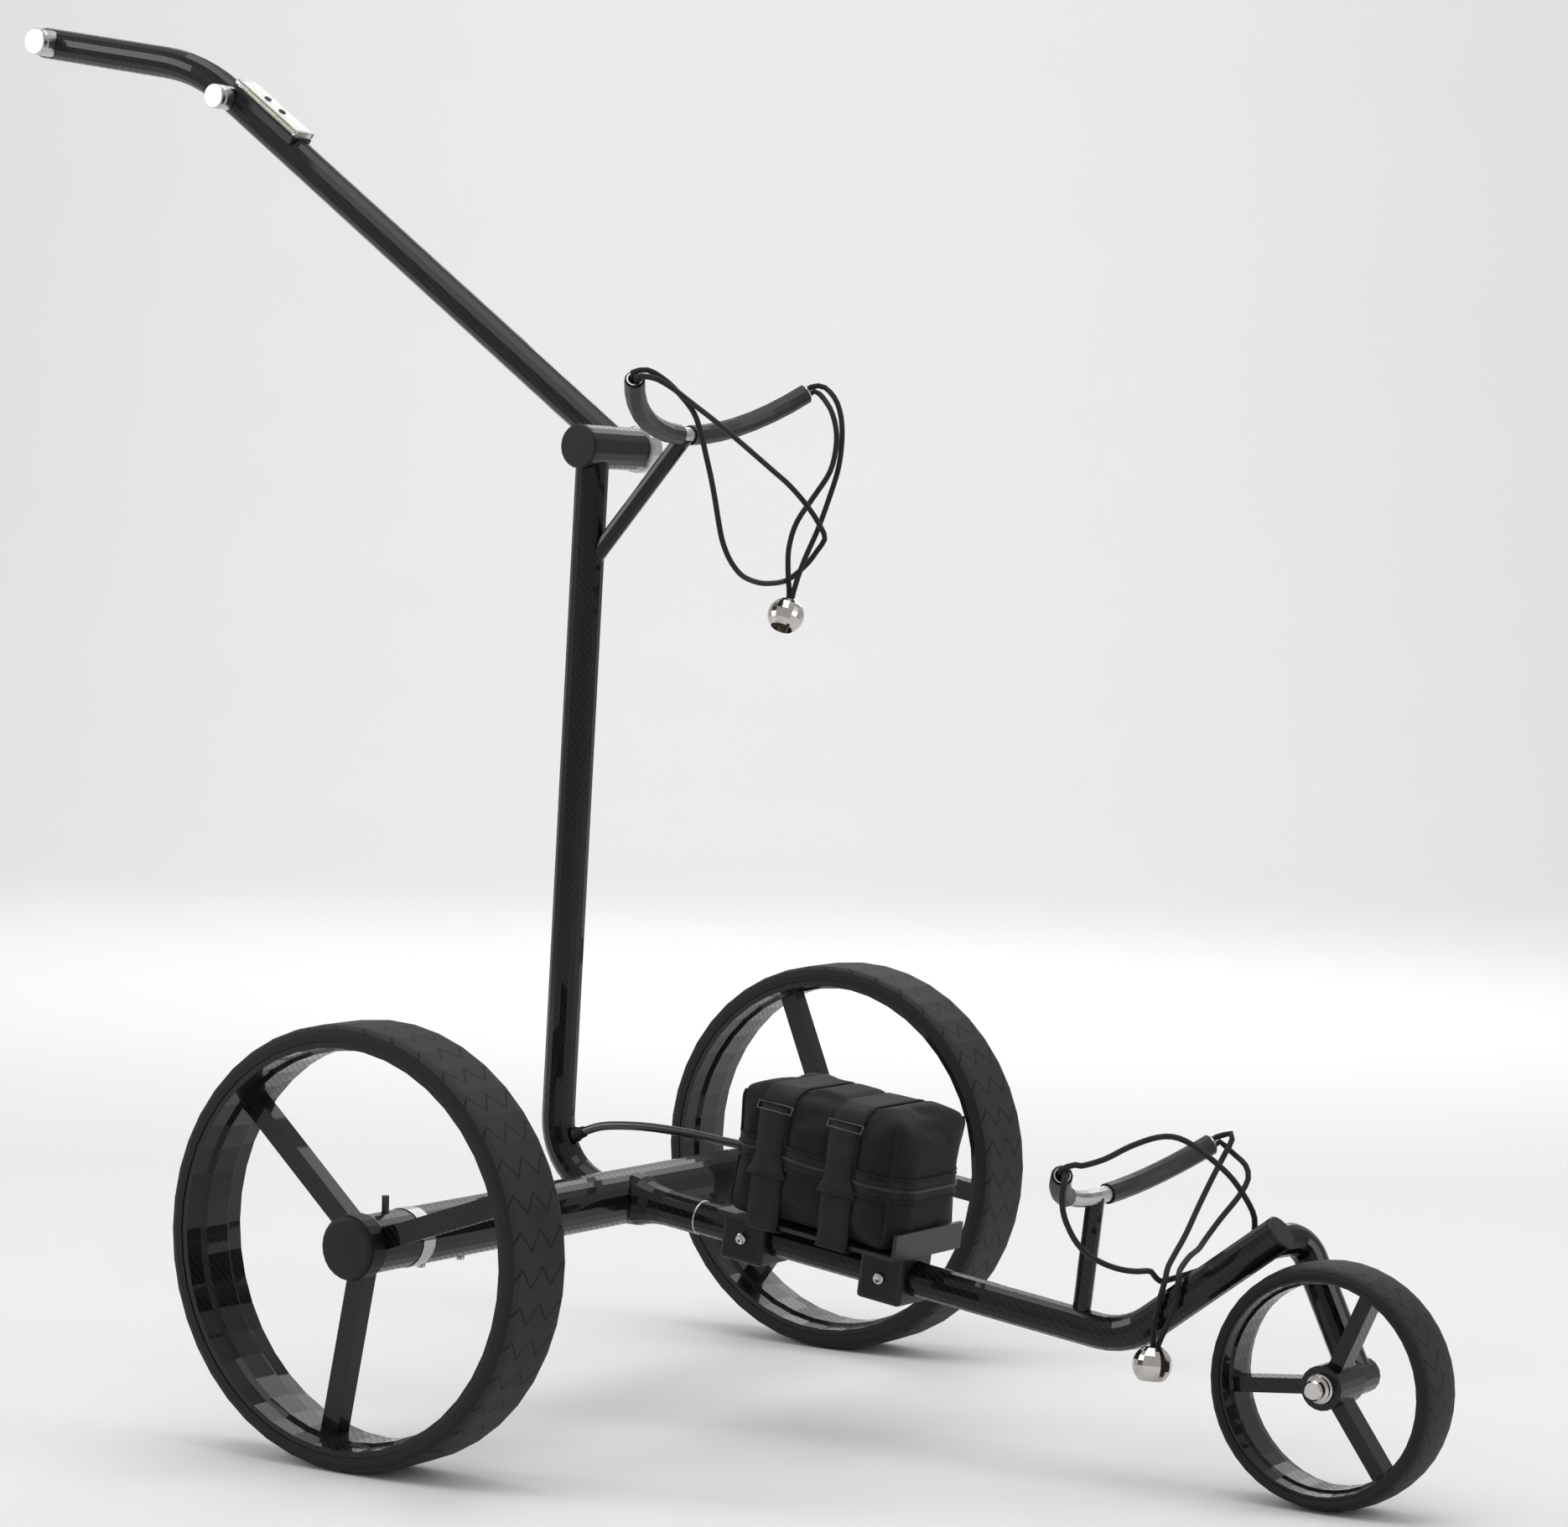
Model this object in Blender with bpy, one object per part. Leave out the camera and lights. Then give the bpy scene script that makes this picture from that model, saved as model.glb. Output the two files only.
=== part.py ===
"""Electric golf trolley with a carbon-tube frame, a folding handle and motors inside the axle tube.

Units are metres. +X is the way the trolley travels, +Y is its left side and +Z is up. The
origin is on the floor, under the middle of the trolley without its elastic cords.
"""

import math

import bmesh
import bpy
import numpy as np
from mathutils import Matrix, Quaternion, Vector

# ---- Driving dimensions ----------------------------------------------------------------
GAP = 0.0003                     # clearance between pieces that touch
REAR_WHEEL_RADIUS = 0.150
REAR_TYRE_HALF_WIDTH = 0.0282
TRACK_HALF = 0.2932              # centre plane of a rear wheel from the middle
FRONT_WHEEL_RADIUS = 0.0814
FRONT_TYRE_HALF_WIDTH = 0.0226
WHEELBASE = 0.5742
TUBE_RADIUS = 0.01225            # column, handle and front frame tubes
TUBE_BORE = 0.0103
AXLE_TUBE_RADIUS = 0.020
AXLE_TUBE_BORE = 0.0182
AXLE_TUBE_HALF_LENGTH = 0.2425
STRUT_RADIUS = 0.0063
SADDLE_RADIUS = 0.0058
SADDLE_BORE = 0.0048
SLEEVE_RADIUS = 0.0073
HINGE_RADIUS = 0.0162
HINGE_PIN_RADIUS = 0.006
HANDLE_PLANE_Y = 0.0313          # the handle folds beside the column
HANDLE_REACH = 0.6200            # furthest point of the handle behind the rear axle
HANDLE_RISE = math.radians(36.0)
GRIP_RISE = math.radians(9.83)
FRAME_FALL = math.radians(7.7)
CORD_DIAMETER = 0.004
LEAD_DIAMETER = 0.0065
BALL_RADIUS = 0.0134
BALL_TILT = {"upper_ball": math.radians(30), "lower_ball": math.radians(6)}

AXLE_X = (HANDLE_REACH - (WHEELBASE + FRONT_WHEEL_RADIUS)) / 2
TUBE_SIDES = 16
SMALL_SIDES = 12
WHEEL_SIDES = 44


def at(x, y, z):
    """A point given from the rear axle's middle along X, from the centre plane and from the floor."""
    return Vector((AXLE_X + x, y, z))


AXLE = at(0, 0, REAR_WHEEL_RADIUS)
FRONT_AXLE = at(WHEELBASE, 0, FRONT_WHEEL_RADIUS)
HINGE = at(-0.0372, 0, 0.6944)
FRAME_DIRECTION = Vector((math.cos(FRAME_FALL), 0, -math.sin(FRAME_FALL)))
FRAME_NORMAL = Vector((math.sin(FRAME_FALL), 0, math.cos(FRAME_FALL)))
FRAME_START = at(0, 0, 0.1509)   # where the front frame's axis crosses the axle's plane
COLUMN_FOOT = at(-0.0615, 0, 0.170)
HANDLE_DIRECTION = Vector((-math.cos(HANDLE_RISE), 0, math.sin(HANDLE_RISE)))
HANDLE_NORMAL = Vector((math.sin(HANDLE_RISE), 0, math.cos(HANDLE_RISE)))
HANDLE_START = HINGE + Vector((0, HANDLE_PLANE_Y, 0))

# name: colour, roughness, metallic
FINISHES = {
    "carbon": ((0.012, 0.012, 0.013), 0.18, 0.0),
    "tyre_rubber": ((0.018, 0.018, 0.019), 0.75, 0.0),
    "soft_rubber": ((0.02, 0.02, 0.02), 0.55, 0.0),
    "black_plastic": ((0.022, 0.022, 0.024), 0.45, 0.0),
    "aluminium": ((0.72, 0.71, 0.69), 0.32, 1.0),
    "polished_steel": ((0.78, 0.76, 0.73), 0.08, 1.0),
    "steel": ((0.55, 0.55, 0.56), 0.35, 1.0),
    "circuit_board": ((0.24, 0.27, 0.08), 0.5, 0.0),
    "clear_plastic": ((0.82, 0.83, 0.82), 0.15, 0.0),
    "nylon": ((0.015, 0.015, 0.016), 0.85, 0.0),
    "webbing": ((0.02, 0.02, 0.022), 0.8, 0.0),
    "elastic": ((0.02, 0.02, 0.02), 0.7, 0.0),
    "cable_sheath": ((0.015, 0.015, 0.015), 0.3, 0.0),
    "cell_wrap": ((0.03, 0.07, 0.2), 0.4, 0.0),
}


def clear_scene():
    for obj in list(bpy.data.objects):
        bpy.data.objects.remove(obj, do_unlink=True)


def finish_material(name):
    found = bpy.data.materials.get(name)
    if found:
        return found
    colour, roughness, metallic = FINISHES[name]
    made = bpy.data.materials.new(name)
    made.use_nodes = True
    shader = made.node_tree.nodes["Principled BSDF"]
    shader.inputs["Base Color"].default_value = (*colour, 1.0)
    shader.inputs["Roughness"].default_value = roughness
    shader.inputs["Metallic"].default_value = metallic
    made.diffuse_color = (*colour, 1.0)
    return made


# ---- Mesh tools ------------------------------------------------------------------------
def add_object(name, shape, material, parent=None):
    """Makes one object from a bmesh whose coordinates are the trolley's own."""
    bmesh.ops.recalc_face_normals(shape, faces=shape.faces[:])
    mesh = bpy.data.meshes.new(name)
    shape.to_mesh(mesh)
    shape.free()
    mesh.shade_smooth()
    mesh.set_sharp_from_angle(angle=math.radians(35))
    mesh.materials.append(finish_material(material))
    obj = bpy.data.objects.new(name, mesh)
    bpy.context.scene.collection.objects.link(obj)
    if parent:
        obj.parent = parent
        obj.location = -parent.location
    return obj


def add_helper(name, shape):
    """A cutter or an operand: it shapes other objects and isn't part of the trolley."""
    helper = add_object(name, shape, "steel")
    helper.hide_render = True
    helper.display_type = "WIRE"
    return helper


def combine(obj, helper, operation):
    modifier = obj.modifiers.new(helper.name, "BOOLEAN")
    modifier.operation = operation
    modifier.solver = "EXACT"
    modifier.object = helper


def joint_empty(name, position):
    empty = bpy.data.objects.new(name, None)
    empty.location = position
    bpy.context.scene.collection.objects.link(empty)
    return empty


def bridge(shape, first, second):
    """Faces between two rings of equal length, or between a ring and a single point."""
    count = max(len(first), len(second))
    for i in range(count):
        j = (i + 1) % count
        if len(first) == 1:
            shape.faces.new((first[0], second[i], second[j]))
        elif len(second) == 1:
            shape.faces.new((first[i], first[j], second[0]))
        else:
            shape.faces.new((first[i], first[j], second[j], second[i]))


def path_frames(path):
    """The tangent and a steady normal at each point of a path."""
    steps = [(b - a).normalized() for a, b in zip(path, path[1:])]
    tangents = [steps[0]]
    tangents += [(a + b).normalized() for a, b in zip(steps, steps[1:])]
    tangents.append(steps[-1])
    guess = Vector((0, 1, 0)) if abs(tangents[0].y) < 0.9 else Vector((0, 0, 1))
    frames = []
    for tangent in tangents:
        guess = (guess - tangent * guess.dot(tangent)).normalized()
        frames.append((tangent, guess.copy()))
    return frames


def sweep(path, radii, sides, bores=None):
    """A round tube along a path, solid or with a bore open at both ends."""
    shape = bmesh.new()
    frames = path_frames(path)

    def rings(sizes):
        if isinstance(sizes, float):
            sizes = [sizes] * len(path)
        made = []
        for point, (tangent, normal), size in zip(path, frames, sizes):
            other = tangent.cross(normal)
            ring = []
            for i in range(sides):
                turn = math.tau * i / sides
                ring.append(shape.verts.new(point + (normal * math.cos(turn) + other * math.sin(turn)) * size))
            made.append(ring)
        return made

    outer = rings(radii)
    for first, second in zip(outer, outer[1:]):
        bridge(shape, first, second)
    if bores is None:
        shape.faces.new(outer[0])
        shape.faces.new(outer[-1])
        return shape
    inner = rings(bores)
    for first, second in zip(inner, inner[1:]):
        bridge(shape, first, second)
    bridge(shape, outer[0], inner[0])
    bridge(shape, outer[-1], inner[-1])
    return shape


def turned(profile, centre, sides, side=1, shape=None):
    """A profile of (radius, distance along Y) points turned about Y; with no point on the axis it is a ring."""
    shape = shape or bmesh.new()
    rings = []
    for radius, along in profile:
        if radius == 0:
            rings.append([shape.verts.new(centre + Vector((0, side * along, 0)))])
            continue
        ring = []
        for i in range(sides):
            turn = math.tau * i / sides
            offset = Vector((radius * math.cos(turn), side * along, radius * math.sin(turn)))
            ring.append(shape.verts.new(centre + offset))
        rings.append(ring)
    for first, second in zip(rings, rings[1:]):
        bridge(shape, first, second)
    if len(rings[0]) > 1 and len(rings[-1]) > 1:
        bridge(shape, rings[-1], rings[0])
    return shape


def cylinder(start, end, radius, sides, shape=None):
    """A solid cylinder between two points."""
    made = sweep([start, end], radius, sides)
    if shape is None:
        return made
    mesh = bpy.data.meshes.new("joined")
    made.to_mesh(mesh)
    made.free()
    shape.from_mesh(mesh)
    bpy.data.meshes.remove(mesh)
    return shape


def block(size, centre, rotation=None, bevel=0.0, shape=None):
    """A box with its edges rounded by the bevel."""
    made = bmesh.new()
    bmesh.ops.create_cube(made, size=1.0)
    bmesh.ops.scale(made, vec=size, verts=made.verts)
    if bevel:
        bmesh.ops.bevel(made, geom=made.edges[:], offset=bevel, segments=2, profile=0.5, affect="EDGES")
    turn = rotation or Matrix.Identity(3)
    bmesh.ops.transform(made, matrix=Matrix.Translation(centre) @ turn.to_4x4(), verts=made.verts)
    if shape is None:
        return made
    mesh = bpy.data.meshes.new("joined")
    made.to_mesh(mesh)
    made.free()
    shape.from_mesh(mesh)
    bpy.data.meshes.remove(mesh)
    return shape


def rounded_path(corners, bend_radius, step=math.radians(9)):
    """Straight runs between corners, with each inner corner turned on an arc."""
    points = [corners[0]]
    for before, corner, after in zip(corners, corners[1:], corners[2:]):
        into = (corner - before).normalized()
        out = (after - corner).normalized()
        turn = into.angle(out)
        start = corner - into * bend_radius * math.tan(turn / 2)
        centre = corner + (out - into).normalized() * bend_radius / math.cos(turn / 2)
        count = max(2, math.ceil(turn / step))
        for i in range(count + 1):
            points.append(centre + Quaternion(into.cross(out), turn * i / count) @ (start - centre))
    points.append(corners[-1])
    return points


def smooth_route(route, spacing):
    """Evenly spaced points on a smooth curve through a route's points."""
    knots = np.array([tuple(point) for point in route])
    ends = np.vstack([2 * knots[0] - knots[1], knots, 2 * knots[-1] - knots[-2]])
    dense = []
    for a, b, c, d in zip(ends, ends[1:], ends[2:], ends[3:]):
        for t in np.linspace(0, 1, 24, endpoint=False):
            curve = 2 * b + (c - a) * t + (2 * a - 5 * b + 4 * c - d) * t**2 + (3 * b - a - 3 * c + d) * t**3
            dense.append(curve / 2)
    dense.append(knots[-1])
    dense = np.array(dense)
    travel = np.concatenate([[0], np.cumsum(np.linalg.norm(np.diff(dense, axis=0), axis=1))])
    count = max(2, round(travel[-1] / spacing))
    marks = np.linspace(0, travel[-1], count + 1)
    return [Vector([np.interp(mark, travel, dense[:, k]) for k in range(3)]) for mark in marks]


def add_cord(name, route, diameter, material, spacing):
    """A round cord as a curve with a bevel and filled caps."""
    points = smooth_route(route, spacing)
    curve = bpy.data.curves.new(name, "CURVE")
    curve.dimensions = "3D"
    curve.bevel_depth = diameter / 2
    curve.bevel_resolution = 2
    curve.use_fill_caps = True
    spline = curve.splines.new("POLY")
    spline.points.add(len(points) - 1)
    for target, point in zip(spline.points, points):
        target.co = (*point, 1.0)
    curve.materials.append(finish_material(material))
    obj = bpy.data.objects.new(name, curve)
    bpy.context.scene.collection.objects.link(obj)
    return obj


def arc_points(middle, lean, radius, first, last, count):
    """Points of a bracket's arc: first and last are distances along Y from its middle."""
    start = math.asin(first / radius)
    end = math.asin(last / radius)
    points = []
    for i in range(count + 1):
        turn = start + (end - start) * i / count
        points.append(middle + lean * radius * (1 - math.cos(turn)) + Vector((0, radius * math.sin(turn), 0)))
    return points


# ---- Axle, motors and column -----------------------------------------------------------
def build_axle():
    """The carbon axle tube with the motors, gearboxes and controller inside it."""
    half = AXLE_TUBE_HALF_LENGTH
    wall = [(AXLE_TUBE_RADIUS, -half), (AXLE_TUBE_RADIUS, half), (AXLE_TUBE_BORE, half), (AXLE_TUBE_BORE, -half)]
    add_object("axle_tube", turned(wall, AXLE, TUBE_SIDES + 8), "carbon")

    collar_width = 0.0124
    motor_radius = 0.0170
    for word, side in (("right", -1), ("left", 1)):
        inner = half + GAP
        collar = [(0.0206, inner), (0.0206, inner + collar_width), (0.0075, inner + collar_width), (0.0075, inner)]
        add_object("axle_collar_" + word, turned(collar, AXLE, TUBE_SIDES + 8, side), "aluminium")
        motor = [
            (0, 0.0600), (0.0150, 0.0600), (0.0160, 0.0620), (0.0160, 0.1640), (motor_radius, 0.1660), (motor_radius, 0.2400),
            (0.0066, 0.2400), (0.0066, 0.2100), (0, 0.2100)]
        add_object("gear_motor_" + word, turned(motor, AXLE, TUBE_SIDES, side), "steel")
    return add_helper("axle_clearance", cylinder(
        AXLE - Vector((0, half, 0)), AXLE + Vector((0, half, 0)), AXLE_TUBE_RADIUS + GAP, TUBE_SIDES + 8))


def build_column(axle_clearance):
    """The column from the axle up to the fixed half of the handle hinge."""
    path = rounded_path([HINGE, COLUMN_FOOT, at(0, 0, 0.143)], 0.050)
    column = add_object("column_tube", sweep(path, TUBE_RADIUS, TUBE_SIDES, TUBE_BORE), "carbon")
    combine(column, axle_clearance, "DIFFERENCE")
    barrel_half = 0.0160
    barrel_clearance = add_helper("barrel_clearance", cylinder(
        HINGE - Vector((0, 0.03, 0)), HINGE + Vector((0, 0.03, 0)), HINGE_RADIUS + GAP, TUBE_SIDES + 4))
    combine(column, barrel_clearance, "DIFFERENCE")

    bore = HINGE_PIN_RADIUS + GAP
    barrel = [(HINGE_RADIUS, -barrel_half), (HINGE_RADIUS, barrel_half - GAP), (bore, barrel_half - GAP), (bore, -barrel_half)]
    add_object("column_barrel", turned(barrel, HINGE, TUBE_SIDES + 4), "carbon")
    face = -barrel_half - GAP
    cap = [(0, face), (HINGE_RADIUS, face), (HINGE_RADIUS, face - 0.0014), (HINGE_RADIUS - 0.0012, face - 0.0026), (0, face - 0.0026)]
    add_object("barrel_cap", turned(cap, HINGE, TUBE_SIDES + 4), "black_plastic")
    pin = [(0, -barrel_half + 0.001), (HINGE_PIN_RADIUS, -barrel_half + 0.001), (HINGE_PIN_RADIUS, 0.058), (0, 0.058)]
    add_object("hinge_pin", turned(pin, HINGE, SMALL_SIDES), "steel")


def build_bracket(prefix, saddle, post_name, post_ends, clearance, bare):
    """A bag bracket: a post or strut, a curved saddle tube and a pair of rubber sleeves on it."""
    middle, end = saddle
    chord_half = end.y
    sag = Vector((end.x - middle.x, 0, end.z - middle.z))
    lean = sag.normalized()
    radius = (chord_half**2 + sag.length**2) / (2 * sag.length)
    path = arc_points(middle, lean, radius, -chord_half, chord_half, 14)
    add_object(prefix + "_saddle", sweep(path, SADDLE_RADIUS, 12, SADDLE_BORE), "aluminium")
    cutter = add_helper(prefix + "_saddle_clearance", sweep(path, SADDLE_RADIUS + GAP, 12))
    sleeve_bore = SADDLE_RADIUS + 2 * GAP
    for word, first, last in (("right", -chord_half + 0.001, bare[0]), ("left", bare[1], chord_half - 0.001)):
        run = arc_points(middle, lean, radius, first, last, 7)
        add_object(prefix + "_sleeve_" + word, sweep(run, SLEEVE_RADIUS, 12, sleeve_bore), "soft_rubber")
    post = add_object(post_name, sweep(post_ends, STRUT_RADIUS, SMALL_SIDES), "carbon")
    combine(post, clearance, "DIFFERENCE")
    combine(post, cutter, "DIFFERENCE")


# ---- Front frame -----------------------------------------------------------------------
def frame_point(distance):
    """The point of the front frame's axis at this distance along X from the rear axle."""
    return FRAME_START + FRAME_DIRECTION * (distance / math.cos(FRAME_FALL))


def build_front_frame(axle_clearance):
    """The lug on the axle, the front tube plugged into it, its cap and the single-sided fork."""
    seam = 0.0709
    stations = (0.010, 0.0185, 0.0240, 0.0310, 0.0410, seam - 0.0004)
    radii = (0.0195, 0.0185, 0.0162, 0.0142, 0.0130, TUBE_RADIUS + 0.0006)
    lug_path = [frame_point(station) for station in stations]
    lug = add_object("socket_lug", sweep(lug_path, radii, TUBE_SIDES, 0.0103), "carbon")
    combine(lug, axle_clearance, "DIFFERENCE")

    bend = frame_point(0.4210)
    end = at(0.5349, 0, 0.1775)
    outward = (end - bend).normalized()
    run = rounded_path([frame_point(seam), bend, end - outward * 0.0015], 0.055)
    spigot = [frame_point(0.036), frame_point(seam - 0.0001)]
    front_radii = [0.0100, 0.0100] + [TUBE_RADIUS] * len(run)
    add_object("front_tube", sweep(spigot + run, front_radii, TUBE_SIDES, 0.0084), "carbon")
    clearance = add_helper("front_tube_clearance", sweep(run + [end + outward * 0.0030], TUBE_RADIUS + GAP, TUBE_SIDES))
    cap_start = end - outward * (0.0015 - GAP)
    cap_path = [cap_start, cap_start + outward * 0.0014, cap_start + outward * 0.0022]
    add_object("front_tube_cap", sweep(cap_path, (TUBE_RADIUS, TUBE_RADIUS, TUBE_RADIUS - 0.0010), TUBE_SIDES), "black_plastic")

    arm_plane = 0.036
    crown = at(0.5325, arm_plane, 0.1700)
    shoulder = end - outward * 0.0140
    barrel_centre = FRONT_AXLE + Vector((0, arm_plane, 0))
    arm = add_object("front_fork", sweep(rounded_path([shoulder, crown, barrel_centre], 0.017), 0.0112, TUBE_SIDES), "carbon")
    barrel_ends = (0.0190, 0.0474)
    barrel = add_helper("fork_barrel", turned(
        [(0, barrel_ends[0]), (0.0120, barrel_ends[0]), (0.0120, barrel_ends[1]), (0, barrel_ends[1])], FRONT_AXLE, TUBE_SIDES))
    combine(arm, barrel, "UNION")
    combine(arm, clearance, "DIFFERENCE")
    axle_hole = add_helper("fork_axle_hole", cylinder(
        FRONT_AXLE + Vector((0, 0, 0)), FRONT_AXLE + Vector((0, 0.0420, 0)), 0.0045, SMALL_SIDES))
    combine(arm, axle_hole, "DIFFERENCE")
    axle = [(0, -0.0215), (0.0040, -0.0215), (0.0040, 0.0415), (0, 0.0415)]
    add_object("front_axle", turned(axle, FRONT_AXLE, SMALL_SIDES), "steel")
    nose = [
        (0, -0.0280), (0.0056, -0.0280), (0.0068, -0.0266), (0.0068, -0.0226), (0.0086, -0.0214), (0.0086, -0.0192),
        (0.0098, -0.0184), (0.0098, -0.0158), (0.0043, -0.0158), (0.0043, -0.0220), (0, -0.0220)]
    add_object("nose_nut", turned(nose, FRONT_AXLE, 24), "polished_steel")
    screw_centre = FRONT_AXLE + Vector((0.0020, 0, 0.0050))
    screw = [(0, barrel_ends[1] + GAP), (0.0030, barrel_ends[1] + GAP), (0.0030, barrel_ends[1] + 0.0064), (0, barrel_ends[1] + 0.0064)]
    add_object("tracking_screw", turned(screw, screw_centre, 12), "polished_steel")
    return clearance


# ---- Battery ---------------------------------------------------------------------------
BAG_SIZE = Vector((0.1380, 0.0920, 0.0945))
BAG_X = 0.1940
BAG_FLOOR = 0.0217               # bottom of the bag above the tube's axis
TRAY_BOTTOM = 0.0181
TRAY_THICKNESS = 0.0031
STRAP_WIDTH = 0.025
STRAP_THICKNESS = 0.0015
FRAME_TURN = Matrix.Rotation(FRAME_FALL, 3, "Y")


def on_frame(along, across, height):
    """A point over the front tube, from the bag's middle."""
    return frame_point(BAG_X - FRAME_NORMAL.x * 0.069) + FRAME_DIRECTION * along + FRAME_NORMAL * height + Vector((0, across, 0))


def build_battery(tube_clearance):
    tray_length = 0.150
    tray_width = 0.086
    tray = add_object("battery_tray", block(
        Vector((tray_length, tray_width, TRAY_THICKNESS)), on_frame(0, 0, TRAY_BOTTOM + TRAY_THICKNESS / 2), FRAME_TURN), "black_plastic")
    lip = add_helper("tray_lip", block(
        Vector((0.0030, tray_width, 0.0190)), on_frame(tray_length / 2 - 0.0015, 0, TRAY_BOTTOM + 0.0095), FRAME_TURN))
    combine(tray, lip, "UNION")

    clamp_length = 0.036
    clamp_width = 0.038
    clamp_low = -0.0190
    clamp_high = TRAY_BOTTOM - GAP
    clamps = {}
    for place, along in (("rear", -0.0668), ("front", 0.0505)):
        size = Vector((clamp_length, clamp_width, clamp_high - clamp_low))
        made = block(size, on_frame(along, 0, (clamp_low + clamp_high) / 2), FRAME_TURN, 0.003)
        clamps[place] = add_object("tray_clamp_" + place, made, "black_plastic")
        combine(clamps[place], tube_clearance, "DIFFERENCE")

    middle = on_frame(0, 0, BAG_FLOOR + BAG_SIZE.z / 2)
    bag = add_object("battery_bag", block(BAG_SIZE, middle, FRAME_TURN, 0.006), "nylon")
    inside = BAG_SIZE - Vector((0.010, 0.010, 0.010))
    combine(bag, add_helper("bag_inside", block(inside, middle, FRAME_TURN)), "DIFFERENCE")
    mouth = on_frame(-BAG_SIZE.x / 2, 0, BAG_FLOOR + 0.0475)
    combine(bag, add_helper("lead_mouth", cylinder(
        mouth - FRAME_DIRECTION * 0.008, mouth + FRAME_DIRECTION * 0.012, 0.0050, SMALL_SIDES)), "DIFFERENCE")
    pack = block(inside - Vector((0.006, 0.004, 0.004)), middle + FRAME_DIRECTION * 0.0022, FRAME_TURN, 0.003)
    add_object("battery_pack", pack, "cell_wrap")

    low = TRAY_BOTTOM - GAP - STRAP_THICKNESS
    high = BAG_FLOOR + BAG_SIZE.z + GAP + STRAP_THICKNESS
    for name, along in (("bag_strap_rear", -0.0345), ("bag_strap_front", 0.0245)):
        centre = on_frame(along, 0, (low + high) / 2)
        width = BAG_SIZE.y + 2 * (GAP + STRAP_THICKNESS)
        strap = add_object(name, block(Vector((STRAP_WIDTH, width, high - low)), centre, FRAME_TURN), "webbing")
        hole = Vector((STRAP_WIDTH + 0.01, width - 2 * STRAP_THICKNESS, high - low - 2 * STRAP_THICKNESS))
        combine(strap, add_helper(name + "_inside", block(hole, centre, FRAME_TURN)), "DIFFERENCE")
        if name == "bag_strap_front":
            notch = block(Vector((STRAP_WIDTH + 0.002, 0.05, 0.0024)), on_frame(along, 0, TRAY_BOTTOM - 0.0011), FRAME_TURN)
            combine(clamps["front"], add_helper("strap_notch", notch), "DIFFERENCE")
    return mouth


# ---- Wheels ----------------------------------------------------------------------------
def rotated_spoke(centre, angle, inner, outer, width, near, far):
    """A straight bar from the hub to the rim; near and far are its faces along Y."""
    turn = Matrix.Rotation(-angle, 3, "Y")
    reach = turn @ Vector(((inner + outer) / 2, 0, 0))
    middle = centre + reach + Vector((0, (near + far) / 2, 0))
    return block(Vector((outer - inner, abs(far - near), width)), middle, turn)


def build_rear_wheel(word, side, first_spoke):
    centre = AXLE + Vector((0, side * TRACK_HALF, 0))
    spin = joint_empty(word + "_wheel_axis", centre)
    half = REAR_TYRE_HALF_WIDTH
    seat = 0.1390
    tyre = [
        (seat, -half), (0.1440, -half), (0.1478, -half + 0.0014), (0.1496, -half + 0.0046), (REAR_WHEEL_RADIUS, -half + 0.0090),
        (REAR_WHEEL_RADIUS, half - 0.0090), (0.1496, half - 0.0046), (0.1478, half - 0.0014), (0.1440, half), (seat, half)]
    add_object("tyre_" + word, turned(tyre, centre, WHEEL_SIDES), "tyre_rubber", spin)

    edge = half - 0.0008
    band = 0.0105
    rim_profile = [
        (seat - GAP, -edge), (seat - GAP, edge), (0.1346, edge), (0.1338, band + 0.004), (0.1314, band),
        (0.1314, -band), (0.1338, -band - 0.004), (0.1346, -edge)]
    rim = add_object("rim_" + word, turned(rim_profile, centre, WHEEL_SIDES), "carbon", spin)
    hub_outer = 0.0038
    hub_inner = TRACK_HALF - AXLE_TUBE_HALF_LENGTH - 0.0124 - 3 * GAP
    hub = [(0, hub_outer), (0.0200, hub_outer), (0.0200, -hub_inner), (0, -hub_inner)]
    combine(rim, add_helper("hub_" + word, turned(hub, centre, TUBE_SIDES + 8, side)), "UNION")
    for i in range(3):
        angle = first_spoke + math.tau * i / 3
        spoke = rotated_spoke(centre, angle, 0.0170, 0.1330, 0.0145, side * hub_outer - side * 0.0002, -side * 0.0087)
        combine(rim, add_helper(f"spoke_{word}_{i}", spoke), "UNION")
    bore = add_helper("hub_bore_" + word, cylinder(
        centre + Vector((0, -side * 0.06, 0)), centre + Vector((0, side * (hub_outer - 0.002), 0)), 0.0063, SMALL_SIDES))
    combine(rim, bore, "DIFFERENCE")
    pin_place = centre + Vector((0, -side * 0.0212, 0))
    pin_hole = add_helper("pin_hole_" + word, cylinder(
        pin_place, pin_place + Vector((0, 0, 0.030)), 0.0029, 12))
    combine(rim, pin_hole, "DIFFERENCE")

    face = hub_outer + GAP
    cap = [(0, face), (0.0222, face), (0.0222, face + 0.0128), (0.0212, face + 0.0148), (0.0185, face + 0.0158), (0, face + 0.0164)]
    add_object("hub_cap_" + word, turned(cap, centre, TUBE_SIDES + 8, side), "soft_rubber", spin)
    shaft = [(0, hub_outer - 0.0025), (0.0060, hub_outer - 0.0025), (0.0060, -0.0800), (0, -0.0800)]
    add_object("drive_shaft_" + word, turned(shaft, centre, SMALL_SIDES, side), "steel", spin)

    pin_axis = joint_empty("pin_axis_" + word, pin_place)
    pin = cylinder(pin_place + Vector((0, 0, 0.0066)), pin_place + Vector((0, 0, 0.0310)), 0.0025, 12)
    add_object("release_pin_" + word, pin, "soft_rubber", pin_axis)


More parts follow.
